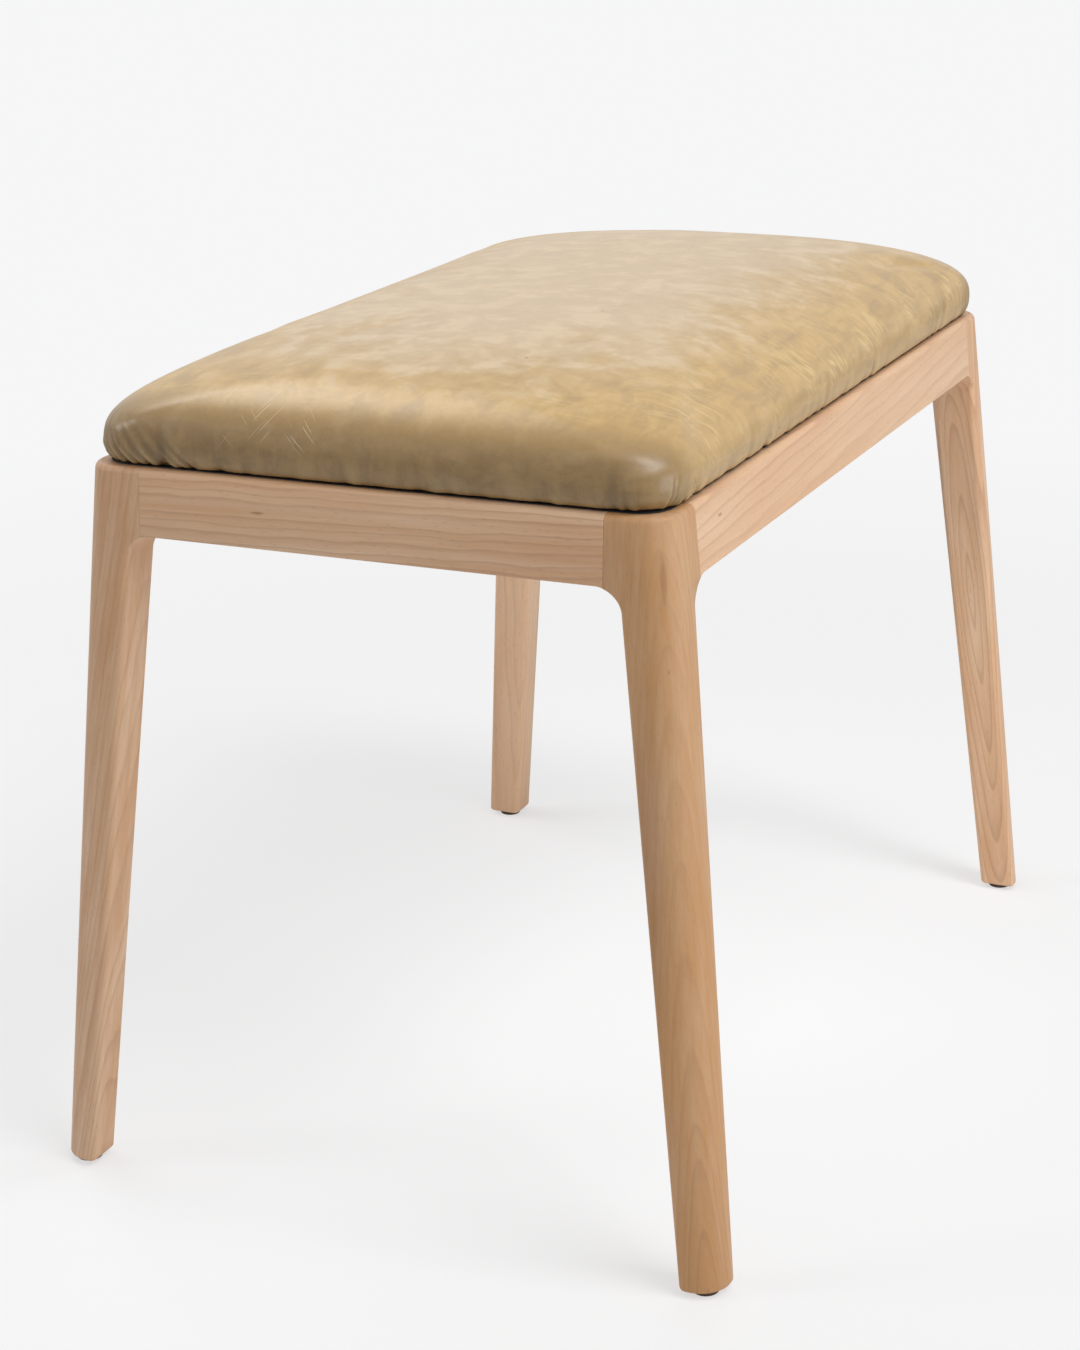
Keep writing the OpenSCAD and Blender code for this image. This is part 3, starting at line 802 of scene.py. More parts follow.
def lining_cloth():
    """Black non-woven cloth: pressed fibres with a grid of small welded dimples."""
    material, tree, shader = new_material("black_lining")
    place = put(tree, "TexCoord").outputs["Object"]
    fibres = put(tree, "TexNoise", Vector=place, Scale=2600.0, Detail=4.0, Roughness=0.8).outputs["Fac"]
    dimple = put(tree, "TexVoronoi", Vector=place, Scale=420.0, Randomness=0.0).outputs["Distance"]
    dimple = ramp(tree, dimple, [(0.16, 0.0), (0.3, 1.0)])
    tone = calc(tree, "ADD", calc(tree, "MULTIPLY", fibres, 0.8), calc(tree, "MULTIPLY", dimple, 0.3))
    colour = blend_colours(tree, tone, shade(20, 20, 21), shade(52, 52, 53))
    tree.links.new(colour, shader.inputs["Base Color"])
    tree.links.new(calc(tree, "SUBTRACT", 0.95, calc(tree, "MULTIPLY", fibres, 0.15)), shader.inputs["Roughness"])
    bump = put(tree, "Bump", Strength=0.4, Distance=0.0002, Height=tone)
    tree.links.new(bump.outputs[0], shader.inputs["Normal"])
    return material


def dress(node, material):
    """Gives a CAD node that stays its material."""
    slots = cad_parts[node].data.materials
    slots.clear()
    slots.append(material)


BLOCK_PALE, BLOCK_DARK = shade(214, 180, 138), shade(186, 146, 104)
zinc = metal("zinc_plated_steel", shade(205, 207, 210), 0.35, 900.0)
nylon = glide_plastic()
dress("rail_dowels", plain_wood("dowel_wood", shade(218, 184, 142), shade(196, 156, 112), (1, 0, 0), 3.0))
for end_name, end_side in (("front", FRONT), ("back", BACK)):
    for side_name, side in (("left", LEFT), ("right", RIGHT)):
        corner = f"{end_name}_{side_name}"
        across = (side, -end_side, 0)
        block = plain_wood(f"block_wood_{corner}", BLOCK_PALE, BLOCK_DARK, across, 5 + side + 2 * end_side)
        dress(f"{corner}_corner_block", block)
        dress(f"{corner}_glide", nylon)
dress("corner_block_screws", zinc)
dress("seat_screws", zinc)
dress("glide_nails", zinc)
dress("seat_board", plywood())
dress("cover_staples", metal("staple_steel", shade(214, 214, 216), 0.3, 1400.0))
dress("under_lining", lining_cloth())
print("CAD nodes that keep their shape:", len(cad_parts) - len(legs) - len(rails) - 2)

# %% [markdown]
# ## The pad
#
# The pad is foam glued on a board, with one piece of leather stretched over it, pulled under and stapled.
# It has no seams. Its side rises almost straight for a few millimetres, turns over a broad shoulder and
# runs into a gentle crown. A cushion modelled only by hand looks cast, so the form starts a little too
# small, as a net of rings, and a cloth simulation blows it up under pressure while its turned-under edge
# is held. How far a point may move is capped, so that it keeps to the space of its CAD solid.

# %% Measures of the pad
PAD_Z, BOARD_T = 0.4205, 0.012
PAD_H, PAD_BULGE_H, PAD_DOME = 0.0615, 0.014, 0.140
PAD_INSET, EDGE_INSET, FLAP_INSET = -0.0008, 0.0052, 0.0095
PAD_FULLNESS, PAD_CORNER_R = 2.25, 0.024
CROWN_ROUNDING = (0.6, 1.6, 1.6, 1.3)
EDGE_ROUNDING = (0.25, 0.25, 0.25, 0.25)
FLAP_END, EDGE_RISE = 0.0305, 0.0011
LEATHER_T, BOARD_INSET, BOARD_GAP = 0.0012, 0.0083, 0.0002
END_COLUMNS, SIDE_COLUMNS, CORNER_COLUMNS = 32, 50, 14
ROLL_ROWS, DOME_ROWS, FLAP_ROWS = 5, 12, 3
NET_INSET = 0.038
SLACK = 0.0022


def pad_outline(inset, rounding=EDGE_ROUNDING[0]):
    """Half width, half length and corner radius of the pad's outline, a distance in from the frame's."""
    a, b = HALF_W - inset, HALF_L - inset
    return a, b, min(PAD_CORNER_R + rounding * (inset - PAD_INSET), 0.98 * a)


def crowded(count, crowding=0.35):
    """Places from 0 to 1 that lie closer together near both ends."""
    steps = [k / count for k in range(count)]
    return [t - crowding * math.sin(2 * math.pi * t) / (2 * math.pi) for t in steps]


def pad_ring(inset, z, roundings=EDGE_ROUNDING):
    """The points of one level, from the middle of the back right corner round to the left."""
    corners = []
    for (side, end_side), rounding in zip(((1, 1), (-1, 1), (-1, -1), (1, -1)), roundings):
        a, b, r = pad_outline(inset, rounding)
        corners.append((Vector((side * (a - r), end_side * (b - r), z)), r))
    points = []
    for k, (centre, r) in enumerate(corners):
        for j in range(CORNER_COLUMNS):
            angle = (k + j / CORNER_COLUMNS) * math.pi / 2
            points.append(tuple(centre + r * Vector((math.cos(angle), math.sin(angle), 0))))
        angle = (k + 1) * math.pi / 2
        out = Vector((math.cos(angle), math.sin(angle), 0))
        next_centre, next_r = corners[(k + 1) % 4]
        start, stop = centre + r * out, next_centre + next_r * out
        for t in crowded(END_COLUMNS if k % 2 == 0 else SIDE_COLUMNS):
            points.append(tuple(start.lerp(stop, t)))
    half = CORNER_COLUMNS // 2
    return np.array(points[half:] + points[:half])


def crown_height(inset):
    """Height of the pad's upper skin a distance in from the frame's outline."""
    share = np.clip((PAD_INSET + PAD_DOME - inset) / (PAD_DOME - SLACK), 0, 1)
    sine = np.sqrt(1 - share ** PAD_FULLNESS)
    return PAD_Z + PAD_BULGE_H + (PAD_H - PAD_BULGE_H - SLACK) * sine ** (2 / PAD_FULLNESS)


def pad_levels():
    """(inset, height, rounding of the corners) of each ring: the shoulder, the lower roll, the turned-under flap."""
    rows = []
    end_share = ((PAD_INSET + PAD_DOME - NET_INSET) / (PAD_DOME - SLACK)) ** (PAD_FULLNESS / 2)
    for k in range(DOME_ROWS, -1, -1):
        a = math.acos(end_share) * k / DOME_ROWS
        inset = PAD_INSET + PAD_DOME - (PAD_DOME - SLACK) * math.cos(a) ** (2 / PAD_FULLNESS)
        rows.append((inset, float(crown_height(inset)), CROWN_ROUNDING))
    widest = PAD_INSET + SLACK
    for k in range(1, ROLL_ROWS + 1):
        a = k * math.pi / 2 / ROLL_ROWS
        height = EDGE_RISE + (PAD_BULGE_H - EDGE_RISE) * (1 - math.sin(a))
        rows.append((EDGE_INSET - (EDGE_INSET - widest) * math.cos(a), PAD_Z + height))
    rows += [(FLAP_INSET + (FLAP_END - FLAP_INSET) * k / FLAP_ROWS, PAD_Z) for k in range(FLAP_ROWS + 1)]
    return rows


# %% The pad's net
def inset_of(points, roundings=EDGE_ROUNDING):
    """How far in each point of the top lies, found by halving: the ring that passes through it."""
    corner = np.where(points[:, 1] > 0, points[:, 0] < 0, 2 + (points[:, 0] > 0))
    rounding = np.array(roundings)[corner.astype(int)]
    low, high = np.full(len(points), PAD_INSET), np.full(len(points), PAD_INSET + PAD_DOME)
    x, y = np.abs(points[:, 0]), np.abs(points[:, 1])
    for _ in range(30):
        middle = (low + high) / 2
        a, b = HALF_W - middle, HALF_L - middle
        r = np.minimum(PAD_CORNER_R + rounding * (middle - PAD_INSET), 0.98 * a)
        gap_x, gap_y = x - (a - r), y - (b - r)
        outside = np.hypot(np.maximum(gap_x, 0), np.maximum(gap_y, 0)) + np.minimum(np.maximum(gap_x, gap_y), 0) > r
        high = np.where(outside, middle, high)
        low = np.where(outside, low, middle)
    return low


def places(mesh):
    flat = np.zeros(len(mesh.vertices) * 3)
    mesh.vertices.foreach_get("co", flat)
    return flat.reshape(-1, 3)


def set_places(mesh, points):
    mesh.vertices.foreach_set("co", np.asarray(points, np.float32).ravel())
    mesh.update()


def spread_grid(mesh, ring, across, along):
    """Lays a square grid over the crown so that its rim lies on the ring and its rows follow the edges."""
    square = places(mesh)
    u, v = 0.5 - square[:, :1], 0.5 - square[:, 1:2]
    i, j = np.rint(u[:, 0] * across).astype(int), np.rint(v[:, 0] * along).astype(int)
    back, left = ring[i], ring[across + j]
    front, right = ring[2 * across + along - i], ring[-j]
    corners = ring[0], ring[across], ring[across + along], ring[2 * across + along]
    laid = (1 - v) * back + v * front + (1 - u) * right + u * left
    laid -= (1 - u) * (1 - v) * corners[0] + u * (1 - v) * corners[1]
    laid -= u * v * corners[2] + (1 - u) * v * corners[3]
    inner = (i > 0) & (i < across) & (j > 0) & (j < along)
    laid[inner, 2] = crown_height(inset_of(laid[inner], CROWN_ROUNDING))
    set_places(mesh, laid)


def extrude_rim(mesh, old, new):
    """Extrudes the selected rim and moves each of its points from the old ring to the same one of the new."""
    bpy.ops.mesh.extrude_region_move(TRANSFORM_OT_translate={"value": (0, 0, 0)})
    shape = bmesh.from_edit_mesh(mesh)
    for v in shape.verts:
        if v.select:
            v.co = new[np.argmin(((old - np.array(v.co)) ** 2).sum(axis=1))]
    bmesh.update_edit_mesh(mesh)


def make_net(name):
    across, along = CORNER_COLUMNS + END_COLUMNS, CORNER_COLUMNS + SIDE_COLUMNS
    rings = [pad_ring(*level) for level in pad_levels()]
    bpy.ops.object.select_all(action="DESELECT")
    bpy.ops.mesh.primitive_grid_add(x_subdivisions=across, y_subdivisions=along, size=1)
    obj = bpy.context.object
    obj.name = obj.data.name = name
    spread_grid(obj.data, rings[0], across, along)
    begin(obj)
    bpy.ops.mesh.select_all(action="SELECT")
    bpy.ops.mesh.region_to_loop()
    for old, new in zip(rings, rings[1:]):
        extrude_rim(obj.data, old, new)
    bpy.ops.mesh.edge_face_add()
    bpy.ops.mesh.select_all(action="SELECT")
    bpy.ops.mesh.normals_make_consistent(inside=False)
    end()
    return obj


pad = make_net("leather_pad")
print("net of the pad:", len(pad.data.vertices), "points,", len(pad.data.polygons), "faces")


# %% Blowing the pad up
PRESSURE, MOST_SWELL, SIM_FRAMES = 1.2, 0.006, 20


def inflate(obj):
    """Runs cloth under pressure, then keeps each point's swelling below the cap."""
    start = places(obj.data)
    held = obj.vertex_groups.new(name="held")
    for k, z in enumerate(start[:, 2]):
        grip = 1 - min(1, max(0, (z - PAD_Z - 0.003) / 0.010))
        if grip > 0:
            held.add([k], grip, "REPLACE")
    cloth = obj.modifiers.new("cloth", "CLOTH")
    cloth.settings.quality = 5
    cloth.settings.mass = 0.3
    cloth.settings.tension_stiffness = 80
    cloth.settings.compression_stiffness = 80
    cloth.settings.shear_stiffness = 80
    cloth.settings.bending_stiffness = 2
    cloth.settings.vertex_group_mass = "held"
    cloth.settings.use_pressure = True
    cloth.settings.uniform_pressure_force = PRESSURE
    cloth.settings.effector_weights.gravity = 0
    cloth.collision_settings.use_collision = False
    cloth.point_cache.frame_start, cloth.point_cache.frame_end = 1, SIM_FRAMES
    for number in range(1, SIM_FRAMES + 1):
        bpy.context.scene.frame_set(number)
    swollen = places(obj.evaluated_get(bpy.context.evaluated_depsgraph_get()).data)
    obj.modifiers.remove(cloth)
    obj.vertex_groups.clear()
    bpy.context.scene.frame_set(1)
    move = swollen - start
    size = np.linalg.norm(move, axis=1)
    cap = MOST_SWELL * np.tanh(size / MOST_SWELL) / np.maximum(size, 1e-9)
    set_places(obj.data, start + move * cap[:, None])
    return float(size.max())


print("most swelling before the cap:", round(inflate(pad) * 1000, 2), "mm")
apply_modifier(pad, "SUBSURF", levels=2, render_levels=2)
bpy.ops.object.shade_smooth()
print("faces in the pad:", len(pad.data.polygons))

# %% [markdown]
# ## Gathers and pleats
#
# A flat hide can't cover a rounded corner without spare leather. The upholsterer pulls it under in small
# pleats, which show as short grooves that fade out on the way up. Those at the front left corner are dragged
# along the front, those at the front right corner are short and close together, and soft gathers stand
# along the lower edges. A bump in the material would vanish at the pad's outline, so the grooves are
# pressed into the mesh, each with its place, slant, width, depth and height.

# %% Where a point lies round the pad
SIDE_HALF_X, SIDE_HALF_Y = HALF_W - PAD_INSET, HALF_L - PAD_INSET
CORNER_X, CORNER_Y = SIDE_HALF_X - PAD_CORNER_R, SIDE_HALF_Y - PAD_CORNER_R


def from_corner(points):
    """Distance round the pad from the nearest corner's middle: above 0 on the short end, below on the long side."""
    dx, dy = np.abs(points[:, 0]) - CORNER_X, np.abs(points[:, 1]) - CORNER_Y
    quarter_arc = PAD_CORNER_R * math.pi / 4
    angle = np.arctan2(np.maximum(dy, 0), np.maximum(dx, 1e-9)) - math.pi / 4
    on_end = quarter_arc - dx
    on_side = dy - quarter_arc
    inside = (dx > 0) & (dy > 0)
    return np.where(inside, PAD_CORNER_R * angle, np.where(dx / CORNER_X > dy / CORNER_Y, on_side, on_end))


def normals_of(mesh):
    flat = np.zeros(len(mesh.vertices) * 3)
    mesh.vertices.foreach_get("normal", flat)
    return flat.reshape(-1, 3)


def grooves(along, up, pleats):
    """How deep the pleats press in. A pleat is (place, slant, width, depth, height)."""
    depth = np.zeros(len(along))
    for place, slant, width, deep, high in pleats:
        across = (along - place - slant * up) / width
        fade = np.clip(1 - up / high, 0, 1)
        depth += deep * fade * (np.exp(-(across**2)) - 0.45 * np.exp(-((across - 1.9) ** 2)))
    return depth


# %% Pressing the pleats in
MM = 0.001


def pleat_row(first, last, count, slant, width, deep, high, seed):
    """Pleats at uneven distances, from first to last, in millimetres."""
    draw = np.random.default_rng(seed)
    rows = []
    for k in range(count):
        place = first + (last - first) * (k + 0.5 + draw.uniform(-0.3, 0.3)) / count
        rows.append(
            (
                place * MM,
                slant * draw.uniform(0.8, 1.2),
                width * MM * draw.uniform(0.75, 1.3),
                deep * MM * draw.uniform(0.6, 1.2),
                high * MM * draw.uniform(0.7, 1.2),
            )
        )
    return rows


corner_pleats = {
    (LEFT, FRONT): pleat_row(-8, 66, 11, -0.9, 2.0, 1.1, 26, 1)
    + pleat_row(-40, -10, 6, 0.3, 1.8, 0.9, 20, 2),
    (RIGHT, FRONT): pleat_row(-44, -6, 13, -0.3, 0.95, 1.3, 16, 3)
    + pleat_row(2, 34, 5, 0.2, 2.2, 0.35, 15, 4),
    (LEFT, BACK): pleat_row(-30, 34, 14, 0.3, 1.5, 0.8, 20, 5),
    (RIGHT, BACK): pleat_row(-34, 30, 14, -0.3, 1.4, 0.8, 18, 6),
}


def press_pleats(mesh):
    points, outward = places(mesh), normals_of(mesh)
    along, up = from_corner(points), np.maximum(points[:, 2] - PAD_Z, 0)
    under = np.clip((inset_of(points) - EDGE_INSET) / (FLAP_INSET - EDGE_INSET), 0, 1)
    flat_part = np.where(up < 0.003, 1 - under, 1.0)
    depth = np.zeros(len(points))
    for (side, end_side), pleats in corner_pleats.items():
        here = (np.sign(points[:, 0]) == side) & (np.sign(points[:, 1]) == end_side)
        depth[here] += grooves(along[here], up[here], pleats)
    draw = np.random.default_rng(11)
    for axis, half, count in ((0, HALF_W, 34), (1, HALF_L, 52)):
        for sign in (-1, 1):
            here = (np.sign(points[:, 1 - axis]) == sign) & (
                along * (1 if axis == 0 else -1) > PAD_CORNER_R * math.pi / 4
            )
            gathers = [
                (
                    draw.uniform(-half, half),
                    draw.uniform(-0.15, 0.15),
                    draw.uniform(2.2, 4.5) * MM,
                    draw.uniform(0.10, 0.60) * MM,
                    draw.uniform(14, 30) * MM,
                )
                for _ in range(count)
            ]
            depth[here] += grooves(points[here, axis], up[here], gathers)
    depth = np.where(up > 0.034, 0, depth) * flat_part
    set_places(mesh, points - outward * depth[:, None])
    mesh.attributes.new("fold", "FLOAT", "POINT").data.foreach_set("value", depth / MM)
    return float(depth.max())


print("deepest pleat:", round(press_pleats(pad.data) * 1000, 2), "mm")

# %% [markdown]
# ## Room for the board
#
# The pad is a closed form, and the plywood board sits inside its underside. The leather's turned-under edge
# passes below the board and the foam wraps its sides. So the flat face inside the turned-under edge is
# extruded up by the leather's thickness, spread to the board's outline, and extruded again over the board.

# %% Recess for the board
BOARD_CORNER_R = 0.017


def spread_outline(points, old, new):
    """Moves points on one rounded rectangle onto another. Each is half width, half length, corner radius."""
    (a, b, r), (na, nb, nr) = old, new
    moved = []
    for x, y, z in points:
        dx, dy = abs(x) - (a - r), abs(y) - (b - r)
        if dx > 0 and dy > 0:
            angle = math.atan2(dy, dx)
            nx, ny = na - nr + nr * math.cos(angle), nb - nr + nr * math.sin(angle)
        elif dx > 0:
            nx, ny = na, abs(y) * (nb - nr) / (b - r)
        else:
            nx, ny = abs(x) * (na - nr) / (a - r), nb
        moved.append((math.copysign(nx, x), math.copysign(ny, y), z))
    return moved


def cut_recess(obj):
    inner = pad_outline(FLAP_END)
    gap = BOARD_INSET - BOARD_GAP
    outer = (HALF_W - gap, HALF_L - gap, BOARD_CORNER_R)
    begin(obj)
    pick(lambda co: co.z < PAD_Z + TOUCH and inside_outline(co, pad_outline(FLAP_END - 0.0004)))
    bpy.ops.mesh.extrude_region_move(TRANSFORM_OT_translate={"value": (0, 0, LEATHER_T)})
    bpy.ops.mesh.extrude_region_move(TRANSFORM_OT_translate={"value": (0, 0, 0)})
    shape = bmesh.from_edit_mesh(obj.data)
    rim = {v for e in shape.edges if e.select and any(not f.select for f in e.link_faces) for v in e.verts}
    rim = [v for v in rim if v.select]
    for v, place in zip(rim, spread_outline([v.co[:] for v in rim], inner, outer)):
        v.co = place
    bmesh.update_edit_mesh(obj.data)
    bpy.ops.mesh.extrude_region_move(TRANSFORM_OT_translate={"value": (0, 0, BOARD_T + 2 * BOARD_GAP)})
    end()


def inside_outline(co, outline):
    a, b, r = outline
    dx, dy = abs(co.x) - (a - r), abs(co.y) - (b - r)
    return math.hypot(max(dx, 0), max(dy, 0)) + min(max(dx, dy), 0) <= r


cut_recess(pad)
print("pad with its recess, faces:", len(pad.data.polygons))

# %% [markdown]
# ## Leather
#
# The hide is waxed and rubbed, so its colour is uneven: a beige ground, ochre clouds where it is stretched
# over the shoulder, olive in the sides, and pale wisps where the wax has cracked. It has fine pores, a few
# scratches and specks, and a soft gloss. Each is a noise of its own scale over the pad's own space. The
# blotches are even in all directions, the wisps are drawn out on a slant, and the height on the pad decides
# how much ochre and olive. Scratches are flat noise in the plane of the face, since noise in space is cut
# end-on by some faces and turns into dots there. Some of the colour is painted light: the paler top is partly
# painted sheen, the sides turn darker towards the bottom and the lower part of the ends darker still as
# painted shade, the underside and lowest millimetre or so are near black as a painted shadow in the gap over
# the frame, and the pleats' depth, kept on the mesh, paints shade into their valleys and a highlight on their
# crests.

# %% Leather
LEATHER_TOP_WITH_SHEEN = shade(201, 175, 136)
LEATHER_SIDE = shade(195, 160, 101)
LEATHER_LOW_SHADE = shade(189, 156, 102)
LEATHER_END_SHADE = shade(178, 172, 164)
LEATHER_OCHRE = shade(200, 164, 98)
LEATHER_PALE = shade(226, 204, 170)
LEATHER_SMUDGE = shade(160, 130, 84)
LEATHER_WISP_AND_CREST_HIGHLIGHT = shade(230, 205, 150)
LEATHER_SPECK_AND_VALLEY_SHADE = shade(92, 70, 44)
LEATHER_SCRATCH = shade(232, 212, 176)
LEATHER_GAP_SHADOW = shade(26, 21, 16)


def strokes(tree, place, names, tilts, length, width, threshold, softness):
    """Strokes in the plane of two axes: flat noise drawn out along a tilt, with only its high peaks kept."""
    axes = put(tree, "SeparateXYZ", Vector=place)
    first, second = (axes.outputs[name] for name in names)
    found = None
    for tilt in tilts:
        c, s = math.cos(tilt), math.sin(tilt)
        along = calc(tree, "ADD", calc(tree, "MULTIPLY", first, c / length), calc(tree, "MULTIPLY", second, s / length))
        across = calc(
            tree, "SUBTRACT", calc(tree, "MULTIPLY", second, c / width), calc(tree, "MULTIPLY", first, s / width)
        )
        line = put(tree, "CombineXYZ", X=along, Y=across)
        line = put(tree, "TexNoise", noise_dimensions="2D", Vector=line.outputs[0], Scale=1.0, Detail=0.0)
        line = ramp(tree, line.outputs["Fac"], [(threshold, 0.0), (threshold + softness, 1.0)])
        found = line if found is None else calc(tree, "MAXIMUM", found, line)
    return found


def leather():
    material, tree, shader = new_material("olive_leather")
    place = put(tree, "TexCoord").outputs["Object"]
    axes = put(tree, "SeparateXYZ", Vector=place)
    height = calc(tree, "MULTIPLY", calc(tree, "SUBTRACT", axes.outputs["Z"], PAD_Z), 1 / PAD_H)
    from_end = calc(tree, "SUBTRACT", HALF_L, calc(tree, "ABSOLUTE", axes.outputs["Y"]))
    end_face = ramp(tree, calc(tree, "MULTIPLY", from_end, 10.0), [(0.12, 1.0), (0.45, 0.0)])

    swirl = put(tree, "TexNoise", Vector=place, Scale=20.0, Detail=2.0).outputs["Color"]
    warped = put(tree, "VectorMath", operation="MULTIPLY_ADD")
    tree.links.new(swirl, warped.inputs[0])
    warped.inputs[1].default_value = (0.022, 0.022, 0.022)
    tree.links.new(place, warped.inputs[2])
    warped = warped.outputs[0]

    cloud = put(tree, "TexNoise", Vector=place, Scale=17.0, Detail=4.0, Roughness=0.55).outputs["Fac"]
    patch = put(tree, "TexNoise", Vector=warped, Scale=58.0, Detail=2.0, Roughness=0.55).outputs["Fac"]
    fine = put(tree, "TexNoise", Vector=warped, Scale=230.0, Detail=2.0, Roughness=0.6).outputs["Fac"]
    slanted = put(tree, "Mapping", Vector=warped, Rotation=(0.85, 0, 0), Scale=(0.8, 0.22, 1.5)).outputs[0]
    streak = put(tree, "TexNoise", Vector=slanted, Scale=100.0, Detail=3.0, Roughness=0.55).outputs["Fac"]
    upright = put(tree, "Mapping", Vector=place, Scale=(1.5, 0.4, 0.28)).outputs[0]
    upright = put(tree, "TexNoise", Vector=upright, Scale=95.0, Detail=3.0, Roughness=0.6).outputs["Fac"]
    grain = put(tree, "TexNoise", Vector=place, Scale=900.0, Detail=3.0, Roughness=0.7).outputs["Fac"]
    pores = put(tree, "TexVoronoi", Vector=place, Scale=1300.0).outputs["Distance"]

    level = calc(tree, "ADD", height, calc(tree, "MULTIPLY", calc(tree, "SUBTRACT", cloud, 0.5), 0.4))
    level = calc(tree, "ADD", level, calc(tree, "MULTIPLY", calc(tree, "SUBTRACT", patch, 0.5), 0.3))
    on_top = ramp(tree, level, [(0.66, 0.0), (0.97, 1.0)])
    # Painted shade: the sides turn a little darker towards the bottom.
    sides = blend_colours(tree, ramp(tree, height, [(0.12, 0.0), (0.55, 1.0)]), LEATHER_LOW_SHADE, LEATHER_SIDE)
    # The top is paler and greyer than the sides: partly the hide's colour, partly painted sheen.
    colour = blend_colours(tree, on_top, sides, LEATHER_TOP_WITH_SHEEN)
    ochre = ramp(tree, level, [(0.48, 0.0), (0.74, 1.0), (0.95, 0.0)])
    colour = blend_colours(tree, calc(tree, "MULTIPLY", ochre, 0.6), colour, LEATHER_OCHRE)
    # Painted shade: the lower part of both ends is multiplied by a grey, darker towards the bottom.
    end_shade = calc(tree, "MULTIPLY", end_face, ramp(tree, height, [(0.35, 1.0), (0.75, 0.0)]))
    colour = blend_colours(tree, end_shade, colour, LEATHER_END_SHADE, "MULTIPLY")

    dark = calc(tree, "SUBTRACT", 0.42, calc(tree, "MULTIPLY", on_top, 0.24))
    dark = calc(tree, "MULTIPLY", ramp(tree, patch, [(0.26, 1.0), (0.62, 0.0)]), dark)
    colour = blend_colours(tree, dark, colour, LEATHER_SMUDGE)
    pale = ramp(tree, patch, [(0.48, 0.0), (0.70, 1.0)])
    pale = calc(tree, "MULTIPLY", pale, calc(tree, "ADD", calc(tree, "MULTIPLY", on_top, 0.25), 0.1))
    colour = blend_colours(tree, pale, colour, LEATHER_PALE)
    off_top = calc(tree, "SUBTRACT", 1.0, on_top)
    drawn = calc(tree, "MULTIPLY", ramp(tree, streak, [(0.36, 1.0), (0.54, 0.0)]), calc(tree, "MULTIPLY", off_top, 0.4))
    colour = blend_colours(tree, drawn, colour, LEATHER_SMUDGE)
    low = ramp(tree, height, [(0.10, 1.0), (0.50, 0.0)])
    smudge = calc(tree, "MULTIPLY", ramp(tree, upright, [(0.38, 1.0), (0.58, 0.0)]), low)
    smudge = calc(tree, "MULTIPLY", calc(tree, "MULTIPLY", smudge, end_face), 0.6)
    colour = blend_colours(tree, smudge, colour, LEATHER_SMUDGE)

    # Painted shade in the pleats' valleys and a painted highlight on their crests, from the depth kept on the mesh.
    fold = put(tree, "Attribute", attribute_name="fold").outputs["Fac"]
    fold_shade = calc(tree, "MULTIPLY", calc(tree, "MAXIMUM", fold, 0.0), 0.6)
    colour = blend_colours(tree, calc(tree, "MINIMUM", fold_shade, 0.68), colour, LEATHER_SPECK_AND_VALLEY_SHADE)
    fold_highlight = calc(tree, "MULTIPLY", calc(tree, "MINIMUM", fold, 0.0), -0.45)
    colour = blend_colours(tree, calc(tree, "MINIMUM", fold_highlight, 0.3), colour, LEATHER_WISP_AND_CREST_HIGHLIGHT)

    wisp = strokes(tree, warped, ("Y", "Z"), (-0.75, -1.25), 0.014, 0.0026, 0.60, 0.20)
    groups = put(tree, "TexNoise", Vector=place, Scale=30.0, Detail=2.0).outputs["Fac"]
    wisp = calc(tree, "MULTIPLY", wisp, ramp(tree, groups, [(0.42, 0.0), (0.64, 1.0)]))
    wisp = calc(tree, "MULTIPLY", wisp, calc(tree, "SUBTRACT", 1.0, end_face))
    wisp = calc(tree, "MULTIPLY", wisp, ramp(tree, height, [(0.15, 0.3), (0.4, 1.0), (0.97, 0.0)]))
    colour = blend_colours(tree, calc(tree, "MULTIPLY", wisp, 0.42), colour, LEATHER_WISP_AND_CREST_HIGHLIGHT)

    rubbed = put(tree, "TexNoise", Vector=place, Scale=14.0, Detail=1.0).outputs["Fac"]
    rubbed = ramp(tree, rubbed, [(0.56, 0.0), (0.66, 0.4)])
    on_end = strokes(tree, place, ("X", "Z"), (0.9, -0.7), 0.030, 0.0009, 0.83, 0.05)
    on_end = calc(tree, "MULTIPLY", on_end, end_face)
    above = strokes(tree, place, ("X", "Y"), (0.5, -0.8), 0.030, 0.0009, 0.84, 0.05)
    above = calc(tree, "MULTIPLY", above, ramp(tree, height, [(0.78, 0.0), (0.9, 0.7)]))
    scratch = calc(tree, "MULTIPLY", calc(tree, "MAXIMUM", on_end, above), rubbed)
    colour = blend_colours(tree, scratch, colour, LEATHER_SCRATCH)
    dots = put(tree, "TexVoronoi", Vector=place, Scale=34.0)
    pick_dots = put(tree, "SeparateColor", Color=dots.outputs["Color"]).outputs[0]
    speck = ramp(tree, dots.outputs["Distance"], [(0.02, 1.0), (0.035, 0.0)])
    speck = calc(tree, "MULTIPLY", speck, calc(tree, "GREATER_THAN", pick_dots, 0.72))
    colour = blend_colours(tree, calc(tree, "MULTIPLY", speck, 0.7), colour, LEATHER_SPECK_AND_VALLEY_SHADE)
    mottle = calc(tree, "ADD", calc(tree, "MULTIPLY", grain, 0.24), calc(tree, "MULTIPLY", fine, 0.18))
    mottle = calc(tree, "ADD", mottle, 0.79)
    colour = blend_colours(tree, 1.0, colour, mottle, "MULTIPLY")
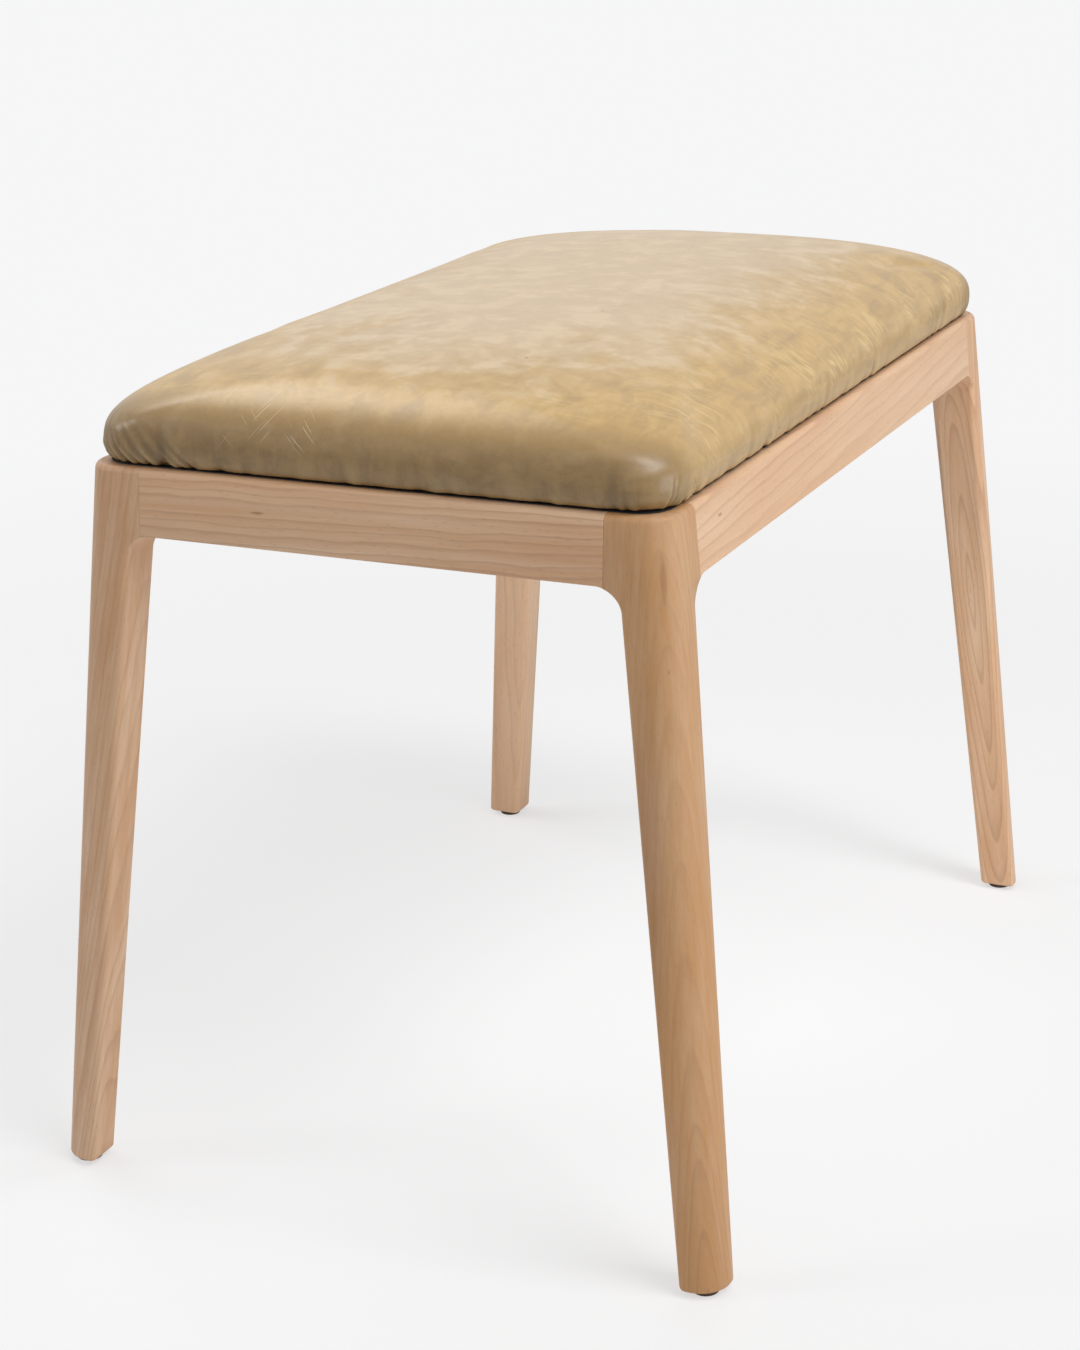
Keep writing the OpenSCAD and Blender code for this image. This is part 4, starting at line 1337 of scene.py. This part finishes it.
    # Painted shadow: the underside and the lowest millimetre or so of the side turn near black, for the shadow in the
    # gap over the frame.
    edge = ramp(tree, calc(tree, "MULTIPLY", height, 10.0), [(0.10, 1.0), (0.26, 0.0)])
    colour = blend_colours(tree, edge, colour, LEATHER_GAP_SHADOW)
    tree.links.new(colour, shader.inputs["Base Color"])

    rough = calc(tree, "ADD", calc(tree, "MULTIPLY", grain, 0.10), calc(tree, "MULTIPLY", patch, 0.14))
    rough = calc(tree, "ADD", rough, calc(tree, "MULTIPLY", wisp, 0.08))
    tree.links.new(calc(tree, "ADD", rough, 0.22), shader.inputs["Roughness"])
    shader.inputs["Specular IOR Level"].default_value = 0.62
    relief = calc(tree, "ADD", calc(tree, "MULTIPLY", pores, 0.5), calc(tree, "MULTIPLY", grain, 0.5))
    relief = calc(tree, "SUBTRACT", relief, calc(tree, "MULTIPLY", wisp, 0.25))
    bump = put(tree, "Bump", Strength=0.16, Distance=0.0003, Height=relief)
    tree.links.new(bump.outputs[0], shader.inputs["Normal"])
    return material


# %% Foam
def foam():
    """Cream foam with open cells, seen only where the board would be."""
    material, tree, shader = new_material("cream_foam")
    place = put(tree, "TexCoord").outputs["Object"]
    cells = put(tree, "TexVoronoi", Vector=place, Scale=1100.0).outputs["Distance"]
    colour = blend_colours(tree, cells, shade(206, 194, 150), shade(240, 230, 192))
    tree.links.new(colour, shader.inputs["Base Color"])
    tree.links.new(calc(tree, "SUBTRACT", 0.98, calc(tree, "MULTIPLY", cells, 0.1)), shader.inputs["Roughness"])
    bump = put(tree, "Bump", Strength=0.5, Distance=0.0005, Height=cells)
    tree.links.new(bump.outputs[0], shader.inputs["Normal"])
    return material


clothe(pad, leather(), "leather", "leather_cover", "foam_pad")
pad.data.materials.append(foam())
recess_top = PAD_Z + LEATHER_T + BOARD_T
inner_pad = (HALF_W - BOARD_INSET + 0.001, HALF_L - BOARD_INSET + 0.001, BOARD_CORNER_R)
for face in pad.data.polygons:
    c = face.center
    if PAD_Z + LEATHER_T + TOUCH < c.z < recess_top + 0.001 and inside_outline(c, inner_pad):
        face.material_index = 1
